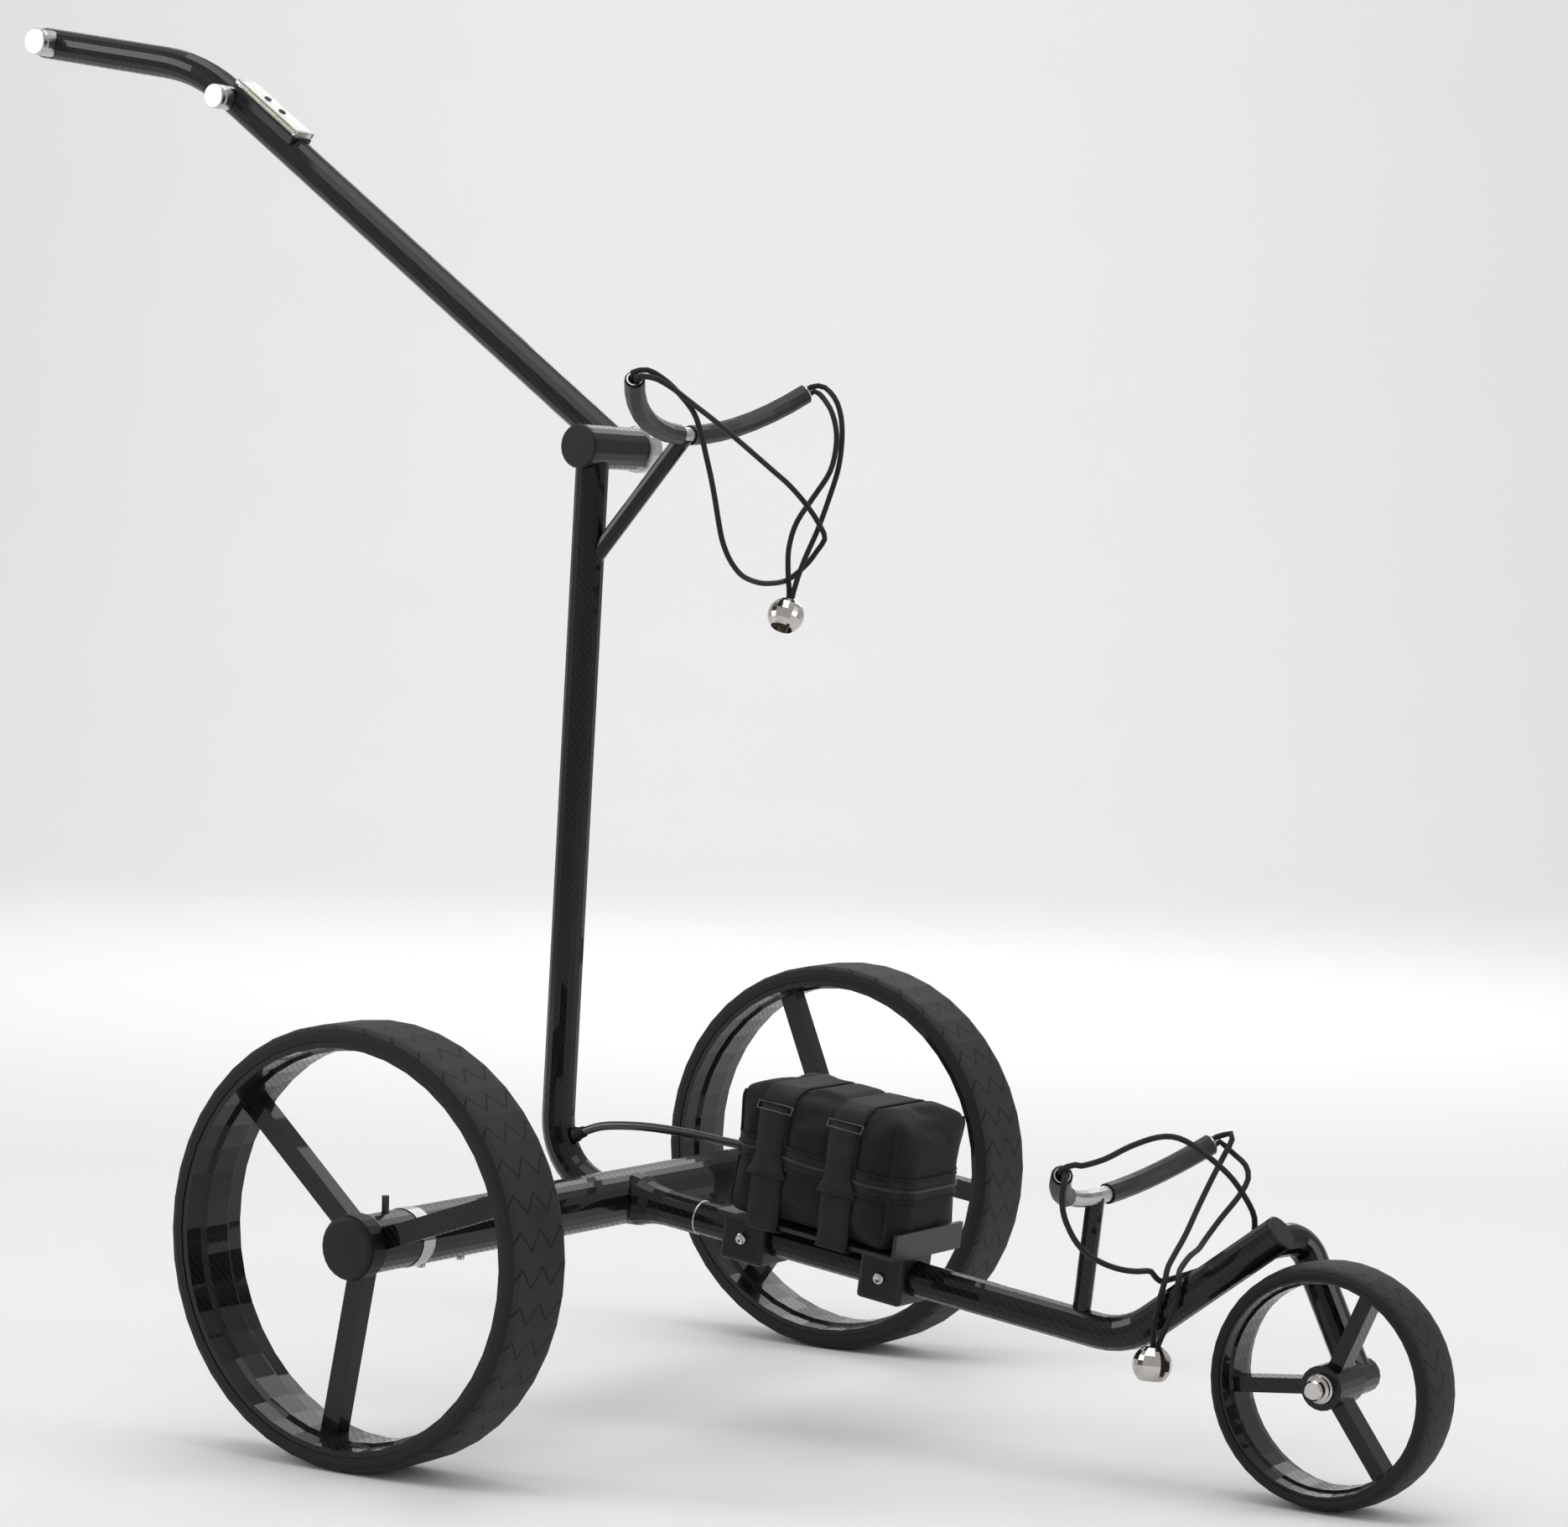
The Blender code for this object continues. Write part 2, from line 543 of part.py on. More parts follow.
def build_front_wheel():
    spin = joint_empty("front_wheel_axis", FRONT_AXLE)
    half = FRONT_TYRE_HALF_WIDTH
    outer = FRONT_WHEEL_RADIUS
    seat = 0.0722
    crown = [(seat, -half + 0.0015), (outer - 0.0060, -half)]
    for i in range(1, 8):
        turn = math.pi * i / 8
        crown.append((outer - 0.0060 + 0.0060 * math.sin(turn) ** 0.8, -half * math.cos(turn)))
    crown += [(outer - 0.0060, half), (seat, half - 0.0015)]
    add_object("tyre_front", turned(crown, FRONT_AXLE, WHEEL_SIDES), "tyre_rubber", spin)
    edge = half - 0.0024
    rim_profile = [
        (seat - GAP, -edge), (seat - GAP, edge), (0.0700, edge), (0.0690, 0.0125), (0.0672, 0.0100),
        (0.0672, -0.0100), (0.0690, -0.0125), (0.0700, -edge)]
    rim = add_object("rim_front", turned(rim_profile, FRONT_AXLE, WHEEL_SIDES), "carbon", spin)
    hub = [(0, -0.0155), (0.0148, -0.0155), (0.0148, 0.0187), (0, 0.0187)]
    combine(rim, add_helper("hub_front", turned(hub, FRONT_AXLE, TUBE_SIDES + 4)), "UNION")
    for i in range(3):
        angle = math.radians(65.5) + math.tau * i / 3
        spoke = rotated_spoke(FRONT_AXLE, angle, 0.0120, 0.0685, 0.0100, -0.0080, 0.0080)
        combine(rim, add_helper(f"spoke_front_{i}", spoke), "UNION")
    bore = add_helper("hub_bore_front", cylinder(
        FRONT_AXLE - Vector((0, 0.03, 0)), FRONT_AXLE + Vector((0, 0.03, 0)), 0.0043, SMALL_SIDES))
    combine(rim, bore, "DIFFERENCE")


# ---- Handle ----------------------------------------------------------------------------
def handle_point(distance, height=0.0, across=0.0):
    """A point on the handle's long straight, from the hinge, above its axis and to its left."""
    return HANDLE_START + HANDLE_DIRECTION * distance + HANDLE_NORMAL * height + Vector((0, across, 0))


def build_handle():
    fold = joint_empty("handle_fold_axis", HINGE)
    barrel_low = 0.0160 + GAP
    barrel_high = 0.0465
    bore = HINGE_PIN_RADIUS + GAP
    barrel = [(HINGE_RADIUS - 0.0004, barrel_low), (HINGE_RADIUS - 0.0004, barrel_high), (bore, barrel_high), (bore, barrel_low)]
    add_object("handle_barrel", turned(barrel, HINGE, TUBE_SIDES + 4), "carbon", fold)

    bend = handle_point(0.5082)
    grip_direction = Vector((-math.cos(GRIP_RISE), 0, math.sin(GRIP_RISE)))
    grip_end = bend + grip_direction * ((0.6165 - 0.4485) / math.cos(GRIP_RISE))
    path = rounded_path([HANDLE_START, bend, grip_end], 0.160, math.radians(5))
    tube = add_object("handle_tube", sweep(path, TUBE_RADIUS, TUBE_SIDES, TUBE_BORE), "carbon", fold)
    clearance = add_helper("handle_barrel_clearance", cylinder(
        HINGE, HINGE + Vector((0, 0.06, 0)), HINGE_RADIUS - 0.0004 + GAP, TUBE_SIDES + 4))
    combine(tube, clearance, "DIFFERENCE")
    plug_path = [grip_end - grip_direction * 0.004, grip_end + grip_direction * 0.0014]
    combine(tube, add_helper("grip_plug", sweep(plug_path, (TUBE_BORE + 0.0012, TUBE_RADIUS - 0.0006), TUBE_SIDES)), "UNION")

    knob_axes = {
        "speed": (bend + grip_direction * ((0.6040 - 0.4485) / math.cos(GRIP_RISE)), 0.0106, 0.0052),
        "power": (handle_point(0.4640), 0.0096, 0.0046)}
    for word, (centre, radius, reach) in knob_axes.items():
        well = add_helper(word + "_well", cylinder(
            centre, centre - Vector((0, 0.05, 0)), radius + 0.0005, TUBE_SIDES))
        combine(tube, well, "DIFFERENCE")
        axis = joint_empty(word + "_knob_axis", centre)
        outer = reach - HANDLE_PLANE_Y
        profile = [
            (0, -0.0020), (radius, -0.0020), (radius, outer + 0.0060), (radius - 0.0008, outer + 0.0052),
            (radius - 0.0008, outer + 0.0040), (radius, outer + 0.0032), (radius, outer + 0.0006), (radius - 0.0006, outer), (0, outer)]
        add_object(word + "_knob", turned(profile, centre, 24), "aluminium", axis)

    knob_axis = joint_empty("clamp_knob_axis", HINGE + Vector((0, 0.055, 0)))
    start = barrel_high + GAP
    knob = [
        (0, start + 0.0165), (0.0165, start + 0.0165), (0.0175, start + 0.0150), (0.0175, start + 0.0062), (0.0165, start + 0.0050),
        (0.0125, start + 0.0035), (0.0125, start), (HINGE_PIN_RADIUS + GAP, start), (HINGE_PIN_RADIUS + GAP, start + 0.0125),
        (0, start + 0.0125)]
    add_object("clamp_knob", turned(knob, HINGE, 24), "aluminium", knob_axis)
    build_console(fold)


def build_console(fold):
    """The control unit on top of the handle: a base, a circuit board, a clear cover and two buttons."""
    turn = Matrix.Rotation(HANDLE_RISE, 3, "Y")
    middle = 0.4265
    length = 0.0760
    width = 0.0220
    base_top = 0.0132
    base_low = 0.0040
    base = add_object("console_base", block(
        Vector((length, width, base_top - base_low)), handle_point(middle, (base_top + base_low) / 2), turn, 0.0012), "black_plastic", fold)
    tube_clearance = add_helper("console_tube_clearance", cylinder(
        handle_point(middle - 0.06), handle_point(middle + 0.06), TUBE_RADIUS + GAP, TUBE_SIDES + 8))
    knob_clearance = add_helper("console_knob_clearance", cylinder(
        handle_point(0.4640), handle_point(0.4640, 0, -0.05), 0.0112, TUBE_SIDES))
    combine(base, tube_clearance, "DIFFERENCE")
    combine(base, knob_clearance, "DIFFERENCE")
    shell_low = base_top + GAP
    shell_high = 0.0184
    plate = block(Vector((length - 0.012, width - 0.006, 0.0012)), handle_point(middle, shell_low + 0.0006), turn)
    add_object("console_board", plate, "circuit_board", fold)
    cover = add_object("console_cover", block(
        Vector((length, width, shell_high - shell_low)), handle_point(middle, (shell_high + shell_low) / 2), turn, 0.0015), "clear_plastic", fold)
    hollow_top = shell_high - 0.0014
    hollow = block(Vector((length - 0.008, width - 0.003, hollow_top - shell_low + 0.002)),
                   handle_point(middle, (hollow_top + shell_low - 0.002) / 2), turn)
    combine(cover, add_helper("console_hollow", hollow), "DIFFERENCE")
    for name, along in (("console_button_up", middle + 0.010), ("console_button_down", middle - 0.008)):
        hole = cylinder(handle_point(along, 0.010), handle_point(along, 0.025), 0.0034, SMALL_SIDES)
        combine(cover, add_helper(name + "_hole", hole), "DIFFERENCE")
        low = handle_point(along, shell_low + 0.0012 + 0.0008)
        axis = joint_empty(name + "_axis", low)
        add_object(name, cylinder(low, handle_point(along, shell_high + 0.0006), 0.0029, SMALL_SIDES), "soft_rubber", axis)


# ---- Elastic cords, their balls and the battery lead -----------------------------------
UPPER_RIGHT_ROUTE = [
    (0.0836, -0.1070, 0.7432), (0.0868, -0.1010, 0.7425), (0.0905, -0.0900, 0.7370), (0.0911, -0.0765, 0.7300),
    (0.0925, -0.0580, 0.7160), (0.0930, -0.0490, 0.7010), (0.0932, -0.0430, 0.6864), (0.0938, -0.0380, 0.6728),
    (0.0942, -0.0330, 0.6573), (0.0941, -0.0280, 0.6416), (0.0941, -0.0235, 0.6289), (0.0938, -0.0170, 0.6190),
    (0.0932, -0.0075, 0.6100), (0.0903, 0.0100, 0.6020), (0.0857, 0.0380, 0.5976), (0.0827, 0.0640, 0.5979),
    (0.0808, 0.0810, 0.6003), (0.0835, 0.0885, 0.6050), (0.0890, 0.0950, 0.6130), (0.0940, 0.0998, 0.6225),
    (0.1010, 0.0983, 0.6310), (0.1025, 0.0890, 0.6400), (0.1015, 0.0815, 0.6480), (0.0985, 0.0720, 0.6580),
    (0.0957, 0.0570, 0.6692), (0.0949, 0.0400, 0.6775), (0.0939, 0.0020, 0.6954), (0.0945, -0.0340, 0.7106),
    (0.0965, -0.0670, 0.7225), (0.0962, -0.0880, 0.7310), (0.0925, -0.1020, 0.7370), (0.0880, -0.1100, 0.7385),
]
UPPER_LEFT_ROUTE = [
    (0.0850, 0.1145, 0.7425), (0.0915, 0.1155, 0.7385), (0.0985, 0.1150, 0.7304), (0.1042, 0.1125, 0.7180),
    (0.1073, 0.1090, 0.7016), (0.1069, 0.1052, 0.6811), (0.1017, 0.1010, 0.6586), (0.0961, 0.0960, 0.6371),
    (0.0914, 0.0885, 0.6180), (0.0903, 0.0810, 0.6043), (0.0897, 0.0760, 0.5930), (0.0890, 0.0735, 0.5850),
    (0.0882, 0.0712, 0.5790), (0.0873, 0.0700, 0.5762), (0.0862, 0.0726, 0.5800), (0.0853, 0.0762, 0.5870),
    (0.0854, 0.0755, 0.5960), (0.0858, 0.0735, 0.6072), (0.0852, 0.0750, 0.6234), (0.0871, 0.0815, 0.6418),
    (0.0954, 0.0905, 0.6604), (0.1042, 0.0980, 0.6785), (0.1066, 0.1020, 0.6952), (0.1055, 0.1040, 0.7095),
    (0.1000, 0.1060, 0.7229), (0.0921, 0.1085, 0.7318), (0.0860, 0.1105, 0.7365),
]
LOWER_RIGHT_ROUTE = [
    (0.4340, -0.1000, 0.2235), (0.4372, -0.0940, 0.2225), (0.4462, -0.0800, 0.2262), (0.4542, -0.0620, 0.2331),
    (0.4635, -0.0460, 0.2381), (0.4704, -0.0350, 0.2387), (0.4760, -0.0260, 0.2355), (0.4817, -0.0170, 0.2293),
    (0.4902, -0.0080, 0.2199), (0.4966, 0.0000, 0.2108), (0.5009, 0.0070, 0.2011), (0.5040, 0.0140, 0.1908),
    (0.5052, 0.0190, 0.1816), (0.5030, 0.0220, 0.1700), (0.4960, 0.0235, 0.1600), (0.4860, 0.0235, 0.1530),
    (0.4729, 0.0228, 0.1470), (0.4605, 0.0215, 0.1410), (0.4510, 0.0130, 0.1372), (0.4455, 0.0010, 0.1355),
    (0.4446, -0.0060, 0.1395), (0.4462, -0.0160, 0.1446),
    (0.4463, -0.0350, 0.1468), (0.4445, -0.0530, 0.1503), (0.4416, -0.0690, 0.1555), (0.4376, -0.0830, 0.1626),
    (0.4346, -0.0940, 0.1717), (0.4326, -0.1020, 0.1826), (0.4320, -0.1080, 0.1933), (0.4332, -0.1120, 0.2055),
    (0.4345, -0.1115, 0.2130),
]
LOWER_LEFT_ROUTE = [
    (0.4345, 0.1085, 0.2225), (0.4395, 0.1085, 0.2235), (0.4415, 0.1050, 0.2190), (0.4398, 0.0980, 0.2100),
    (0.4388, 0.0820, 0.1945), (0.4402, 0.0620, 0.1790), (0.4435, 0.0380, 0.1625), (0.4455, 0.0200, 0.1520),
    (0.4478, 0.0060, 0.1445),
    (0.4508, -0.0030, 0.1375), (0.4530, -0.0120, 0.1295), (0.4522, -0.0155, 0.1204),
    (0.4512, -0.0180, 0.1091), (0.4505, -0.0170, 0.0985), (0.4508, -0.0185, 0.0900), (0.4520, -0.0205, 0.0860),
    (0.4534, -0.0190, 0.0900), (0.4560, -0.0185, 0.0990), (0.4625, -0.0195, 0.1115), (0.4665, -0.0168, 0.1250),
    (0.4665, -0.0145, 0.1362), (0.4645, -0.0085, 0.1428),
    (0.4606, -0.0010, 0.1448), (0.4572, 0.0180, 0.1510), (0.4535, 0.0380, 0.1536),
    (0.4516, 0.0520, 0.1590), (0.4528, 0.0700, 0.1703), (0.4566, 0.0890, 0.1842), (0.4581, 0.0990, 0.1952),
    (0.4534, 0.1035, 0.2035), (0.4450, 0.1068, 0.2082), (0.4375, 0.1085, 0.2125),
]
LEAD_ROUTE = [
    (-0.0428, 0, 0.1915), (-0.0337, 0, 0.1951), (-0.0186, 0, 0.1996), (0.0041, 0, 0.2018), (0.0266, 0, 0.2023),
    (0.0564, 0, 0.2010), (0.0918, 0, 0.1977), (0.1078, 0, 0.1963), (0.1215, 0, 0.1950)]


def placed(route):
    return [at(*point) for point in route]


def cord_loop(saddle, side, route, lean, half_chord):
    """A loop whose two ends lie side by side in an open end of a saddle tube."""
    middle, end = saddle
    sag = (end - middle).dot(lean)
    radius = (half_chord**2 + sag**2) / (2 * sag)
    turn = math.asin(half_chord / radius)
    outward = lean * math.sin(turn) + Vector((0, side * math.cos(turn), 0))
    across = Vector((lean.z, 0, -lean.x))
    mouth = Vector((end.x, side * half_chord, end.z))
    first = across * -0.0022
    leaving = [mouth - outward * 0.0060 + first, mouth + outward * 0.0020 + first, mouth + outward * 0.0055 + first]
    entering = [mouth + outward * 0.0055 - first, mouth + outward * 0.0020 - first, mouth - outward * 0.0060 - first]
    return leaving + placed(route) + entering


def build_cords(upper, lower):
    loops = {
        "upper_cord_right": (upper, -1, UPPER_RIGHT_ROUTE), "upper_cord_left": (upper, 1, UPPER_LEFT_ROUTE),
        "lower_cord_right": (lower, -1, LOWER_RIGHT_ROUTE), "lower_cord_left": (lower, 1, LOWER_LEFT_ROUTE)}
    for name, (saddle, side, route) in loops.items():
        middle, end = saddle
        lean = Vector((end.x - middle.x, 0, end.z - middle.z)).normalized()
        add_cord(name, cord_loop(saddle, side, route, lean, end.y), CORD_DIAMETER, "elastic", 2.9 * CORD_DIAMETER)
    add_cord("battery_lead", placed(LEAD_ROUTE), LEAD_DIAMETER, "cable_sheath", 2.4 * LEAD_DIAMETER)
    for name, centre in (("upper_ball", at(0.0876, 0.0690, 0.5744)), ("lower_ball", at(0.4519, -0.0205, 0.0831))):
        ball = bmesh.new()
        bmesh.ops.create_uvsphere(ball, u_segments=20, v_segments=12, radius=BALL_RADIUS)
        bmesh.ops.rotate(ball, cent=Vector(), matrix=Matrix.Rotation(-BALL_TILT[name], 3, "X"), verts=ball.verts)
        bmesh.ops.translate(ball, vec=centre, verts=ball.verts)
        piece = add_object(name, ball, "polished_steel")
        up = Vector((0, math.sin(BALL_TILT[name]), math.cos(BALL_TILT[name])))
        bore = sweep([centre - up * 0.0200, centre - up * 0.0040, centre + up * 0.0040, centre + up * 0.0200],
                     [0.0082, 0.0082, 0.0064, 0.0064], SMALL_SIDES)
        combine(piece, add_helper(name + "_bore", bore), "DIFFERENCE")


def main():
    clear_scene()
    axle_clearance = build_axle()
    build_column(axle_clearance)
    tube_clearance = build_front_frame(axle_clearance)
    column_clearance = add_helper("column_clearance", sweep([HINGE, COLUMN_FOOT], TUBE_RADIUS + GAP, TUBE_SIDES))
    upper = (at(0.0435, 0, 0.7025), at(0.0773, 0.1075, 0.7373))
    lower = (at(0.3947, 0, 0.1877), at(0.4278, 0.1028, 0.2165))
    strut_ends = [at(-0.0413, 0, 0.6065), at(0.0440, 0, 0.7010)]
    post_ends = [at(0.3842, 0, 0.0990), lower[0]]
    build_bracket("upper", upper, "bracket_strut", strut_ends, column_clearance, (-0.0070, 0.0070))
    build_bracket("lower", lower, "bracket_post", post_ends, tube_clearance, (-0.0550, 0.0140))
    build_battery(tube_clearance)
    build_rear_wheel("right", -1, math.radians(18.5))
    build_rear_wheel("left", 1, math.radians(112))
    build_front_wheel()
    build_handle()
    build_cords(upper, lower)


main()
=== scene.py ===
"""Looks of the electric golf trolley: camera, materials, cords, padded bag, small fittings and stage."""
import math

import bmesh
import bpy
import numpy as np
from mathutils import Matrix, Vector
from mathutils.bvhtree import BVHTree


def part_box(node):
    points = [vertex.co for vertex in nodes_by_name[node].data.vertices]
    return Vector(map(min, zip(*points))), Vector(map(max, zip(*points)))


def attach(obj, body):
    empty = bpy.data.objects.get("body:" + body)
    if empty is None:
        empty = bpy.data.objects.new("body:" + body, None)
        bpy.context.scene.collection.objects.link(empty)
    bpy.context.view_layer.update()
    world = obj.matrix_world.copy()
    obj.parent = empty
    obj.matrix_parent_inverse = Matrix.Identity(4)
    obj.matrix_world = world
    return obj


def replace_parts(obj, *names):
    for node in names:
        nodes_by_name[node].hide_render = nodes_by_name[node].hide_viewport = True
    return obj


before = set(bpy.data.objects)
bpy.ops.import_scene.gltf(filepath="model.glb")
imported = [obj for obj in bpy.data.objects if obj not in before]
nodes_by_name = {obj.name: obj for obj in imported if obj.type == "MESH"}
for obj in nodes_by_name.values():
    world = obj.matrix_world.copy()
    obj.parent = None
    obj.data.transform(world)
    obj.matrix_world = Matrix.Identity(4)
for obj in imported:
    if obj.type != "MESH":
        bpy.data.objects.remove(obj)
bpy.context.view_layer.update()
scene = bpy.context.scene

AXLE_X = -0.0178
REAR_WHEEL_RADIUS = 0.150
FRONT_WHEEL_RADIUS = 0.0814
WHEELBASE = 0.5742
FRAME_HEIGHT = 0.1509            # of the front frame's axis where it crosses the rear axle's plane
FRAME_FALL = math.radians(7.7)
FRAME_DIRECTION = Vector((math.cos(FRAME_FALL), 0, -math.sin(FRAME_FALL)))
CORD_DIAMETER = 0.004
LEAD_DIAMETER = 0.0065


def at(x, y, z):
    """A point given from the rear axle's middle along X, from the centre plane and from the floor."""
    return Vector((AXLE_X + x, y, z))


# ---- Camera ----------------------------------------------------------------------------
def add_camera():
    azimuth, elevation, roll = (math.radians(angle) for angle in (33.970, 2.524, 0.982))
    back = Vector((
        math.sin(azimuth) * math.cos(elevation),
        -math.cos(azimuth) * math.cos(elevation),
        math.sin(elevation)))
    right = Vector((0, 0, 1)).cross(back).normalized()
    up = back.cross(right)
    turned_right = right * math.cos(roll) + up * math.sin(roll)
    turned_up = up * math.cos(roll) - right * math.sin(roll)
    data = bpy.data.cameras.new("camera")
    data.sensor_fit = "HORIZONTAL"
    data.sensor_width = 36
    data.lens = 97.03
    data.clip_end = 60
    obj = bpy.data.objects.new("camera", data)
    obj.matrix_world = Matrix.Translation((1.78461, -2.47533, 0.60207)) @ Matrix(
        (turned_right, turned_up, back)).transposed().to_4x4()
    scene.collection.objects.link(obj)
    scene.camera = obj


add_camera()


# ---- Materials -------------------------------------------------------------------------
class Finish:
    """A procedural material: a principled shader fed by patterns in the object's own space."""

    def __init__(self, name, roughness, metallic=0.0, **sockets):
        self.material = bpy.data.materials.new(name)
        self.material.use_nodes = True
        self.tree = self.material.node_tree
        self.shader = self.tree.nodes["Principled BSDF"]
        self.shader.inputs["Roughness"].default_value = roughness
        self.shader.inputs["Metallic"].default_value = metallic
        for socket, value in sockets.items():
            self.shader.inputs[socket.replace("_", " ").title().replace("Ior", "IOR")].default_value = value
        self.place = self.tree.nodes.new("ShaderNodeTexCoord").outputs["Object"]
        self.height = None

    def link(self, value, socket):
        if isinstance(value, (int, float)):
            socket.default_value = value
        elif isinstance(value, (tuple, list, Vector)):
            socket.default_value = tuple(value)
        else:
            self.tree.links.new(value, socket)

    def math(self, operation, first, second=0.0, third=0.0):
        node = self.tree.nodes.new("ShaderNodeMath")
        node.operation = operation
        for value, socket in zip((first, second, third), node.inputs):
            self.link(value, socket)
        return node.outputs[0]

    def vector(self, operation, first, second=(0, 0, 0)):
        node = self.tree.nodes.new("ShaderNodeVectorMath")
        node.operation = operation
        self.link(first, node.inputs[0])
        self.link(second, node.inputs[1])
        return node.outputs["Value" if operation == "DOT_PRODUCT" else "Vector"]

    def noise(self, scale, stretch=(1, 1, 1), detail=3.0):
        node = self.tree.nodes.new("ShaderNodeTexNoise")
        self.link(self.vector("MULTIPLY", self.place, stretch), node.inputs["Vector"])
        node.inputs["Scale"].default_value = scale
        node.inputs["Detail"].default_value = detail
        return node.outputs["Fac"]

    def twill(self, pitch):
        """1 on the raised tows of a two-by-two twill and 0 on the sunk ones."""
        cells = self.vector("FLOOR", self.vector("MULTIPLY", self.place, (1 / pitch,) * 3))
        steps = self.vector("DOT_PRODUCT", cells, (1, 1, 1))
        return self.math("LESS_THAN", self.math("FLOORED_MODULO", steps, 4), 2)

    def ribs(self, direction, pitch):
        """Fine parallel ridges across a direction."""
        travel = self.vector("DOT_PRODUCT", self.place, Vector(direction) * (math.tau / pitch))
        return self.math("MULTIPLY_ADD", self.math("SINE", travel), 0.5, 0.5)

    def spread(self, factor, low, high):
        node = self.tree.nodes.new("ShaderNodeMapRange")
        self.link(factor, node.inputs["Value"])
        node.inputs["To Min"].default_value = low
        node.inputs["To Max"].default_value = high
        return node.outputs["Result"]

    def colour(self, factor, first, second):
        node = self.tree.nodes.new("ShaderNodeMix")
        node.data_type = "RGBA"
        self.link(factor, node.inputs[0])
        node.inputs[6].default_value = (*first, 1)
        node.inputs[7].default_value = (*second, 1)
        self.tree.links.new(node.outputs[2], self.shader.inputs["Base Color"])

    def rough(self, factor, low, high):
        self.tree.links.new(self.spread(factor, low, high), self.shader.inputs["Roughness"])

    def bump(self, factor, depth, strength=1.0):
        node = self.tree.nodes.new("ShaderNodeBump")
        node.inputs["Distance"].default_value = depth
        node.inputs["Strength"].default_value = strength
        self.link(factor, node.inputs["Height"])
        if self.height:
            self.tree.links.new(self.height, node.inputs["Normal"])
        self.height = node.outputs["Normal"]
        self.tree.links.new(self.height, self.shader.inputs["Normal"])


def carbon_weave():
    made = Finish("carbon_weave", 0.3, Coat_weight=0.5, Coat_roughness=0.03, Specular_ior_level=0.1)
    tows = made.twill(0.0016)
    made.colour(tows, (0.0015, 0.0015, 0.0017), (0.0065, 0.0065, 0.0072))
    made.rough(tows, 0.3, 0.45)
    made.bump(tows, 0.00002, 0.3)
    return made.material


def moulded(name, dark, light, low, high, depth=0.00006, scale=1400, **sockets):
    """A moulded or rubbery surface with a fine grain and faint patches."""
    made = Finish(name, (low + high) / 2, **sockets)
    patches = made.noise(38, detail=5)
    made.colour(patches, dark, light)
    made.rough(patches, low, high)
    made.bump(made.noise(scale), depth)
    return made.material


def metal(name, dark, light, low, high, stretch, scale=300, depth=0.00002):
    made = Finish(name, (low + high) / 2, metallic=1.0)
    streaks = made.noise(scale, stretch, 6)
    made.colour(streaks, dark, light)
    made.rough(made.noise(45), low, high)
    made.bump(streaks, depth)
    return made.material


def tread_rubber(name, centre, radius, pitch, wall):
    """Tyre rubber with zigzag sipes across the tread, their grooves darkened with painted shade, the tread
    coloured lighter than the walls, and fine rings on the walls.
    """
    made = Finish(name, 0.75, Specular_ior_level=0.28)
    patches = made.noise(30, detail=6)
    made.rough(patches, 0.55, 0.75)
    made.bump(made.noise(1500), 0.00006)
    split = made.tree.nodes.new("ShaderNodeSeparateXYZ")
    made.link(made.vector("SUBTRACT", made.place, centre), split.inputs[0])
    across, around, up = split.outputs["Y"], split.outputs["X"], split.outputs["Z"]
    angle = made.math("ARCTAN2", up, around)
    zigzag = made.math("MULTIPLY", made.math("PINGPONG", across, 0.0105), 1.25)
    travel = made.math("ADD", made.math("MULTIPLY", angle, radius), zigzag)
    groove = made.math("LESS_THAN", made.math("FRACT", made.math("DIVIDE", travel, pitch)), 0.10)
    reach = made.math("SQRT", made.math("ADD", made.math("POWER", around, 2), made.math("POWER", up, 2)))
    on_tread = made.math("GREATER_THAN", reach, wall)
    # raised is 0 in the sipes' grooves: it gives their bump, and in the colour below it paints shade into
    # them.
    raised = made.math("SUBTRACT", 1.0, made.math("MULTIPLY", groove, on_tread))
    made.bump(raised, 0.0022)
    # The tread is coloured lighter than the walls.
    tread_lighter = made.math("MULTIPLY_ADD", on_tread, 0.45, 0.35)
    # Colour: random patches of tone, lighter on the tread than on the walls, and painted shade in the sipes'
    # grooves, where raised is 0.
    shade = made.math("MULTIPLY", made.math("MULTIPLY", made.math("ADD", patches, 0.3), tread_lighter), raised)
    made.colour(shade, (0.0012, 0.0012, 0.0013), (0.030, 0.030, 0.031))
    rings = made.math("SINE", made.math("MULTIPLY", reach, math.tau / 0.0016))
    made.bump(made.math("MULTIPLY", rings, made.math("LESS_THAN", reach, wall)), 0.00007)
    return made.material


def woven(name, dark, light, direction, pitch, depth, roughness):
    """Nylon cloth or webbing with a fine weave and ribs across one direction, its colour darkened between the
    ribs as painted shade.
    """
    made = Finish(name, roughness, Sheen_weight=0.06, Sheen_roughness=0.4, Specular_ior_level=0.3)
    ribs = made.ribs(direction, pitch)
    # Colour: random tone, darkened in the troughs between the ribs as painted shade.
    made.colour(made.math("MULTIPLY", made.noise(90, detail=5), made.math("ADD", ribs, 0.4)), dark, light)
    made.bump(ribs, depth)
    made.bump(made.twill(0.0011), depth * 0.4)
    made.bump(made.noise(55, detail=4), 0.0012, 0.35)
    return made.material


def circuit_board():
    made = Finish("circuit_board", 0.45, Coat_weight=0.3)
    cells = made.tree.nodes.new("ShaderNodeTexVoronoi")
    cells.inputs["Scale"].default_value = 260
    made.link(made.place, cells.inputs["Vector"])
    pads = made.math("LESS_THAN", cells.outputs["Distance"], 0.32)
    made.colour(pads, (0.30, 0.34, 0.055), (0.62, 0.60, 0.38))
    made.bump(pads, 0.0002)
    return made.material


def floor_paper():
    made = Finish("floor_paper", 0.85)
    made.colour(made.noise(3, detail=2), (0.80, 0.80, 0.805), (0.815, 0.815, 0.82))
    made.bump(made.noise(700), 0.00004)
    return made.material


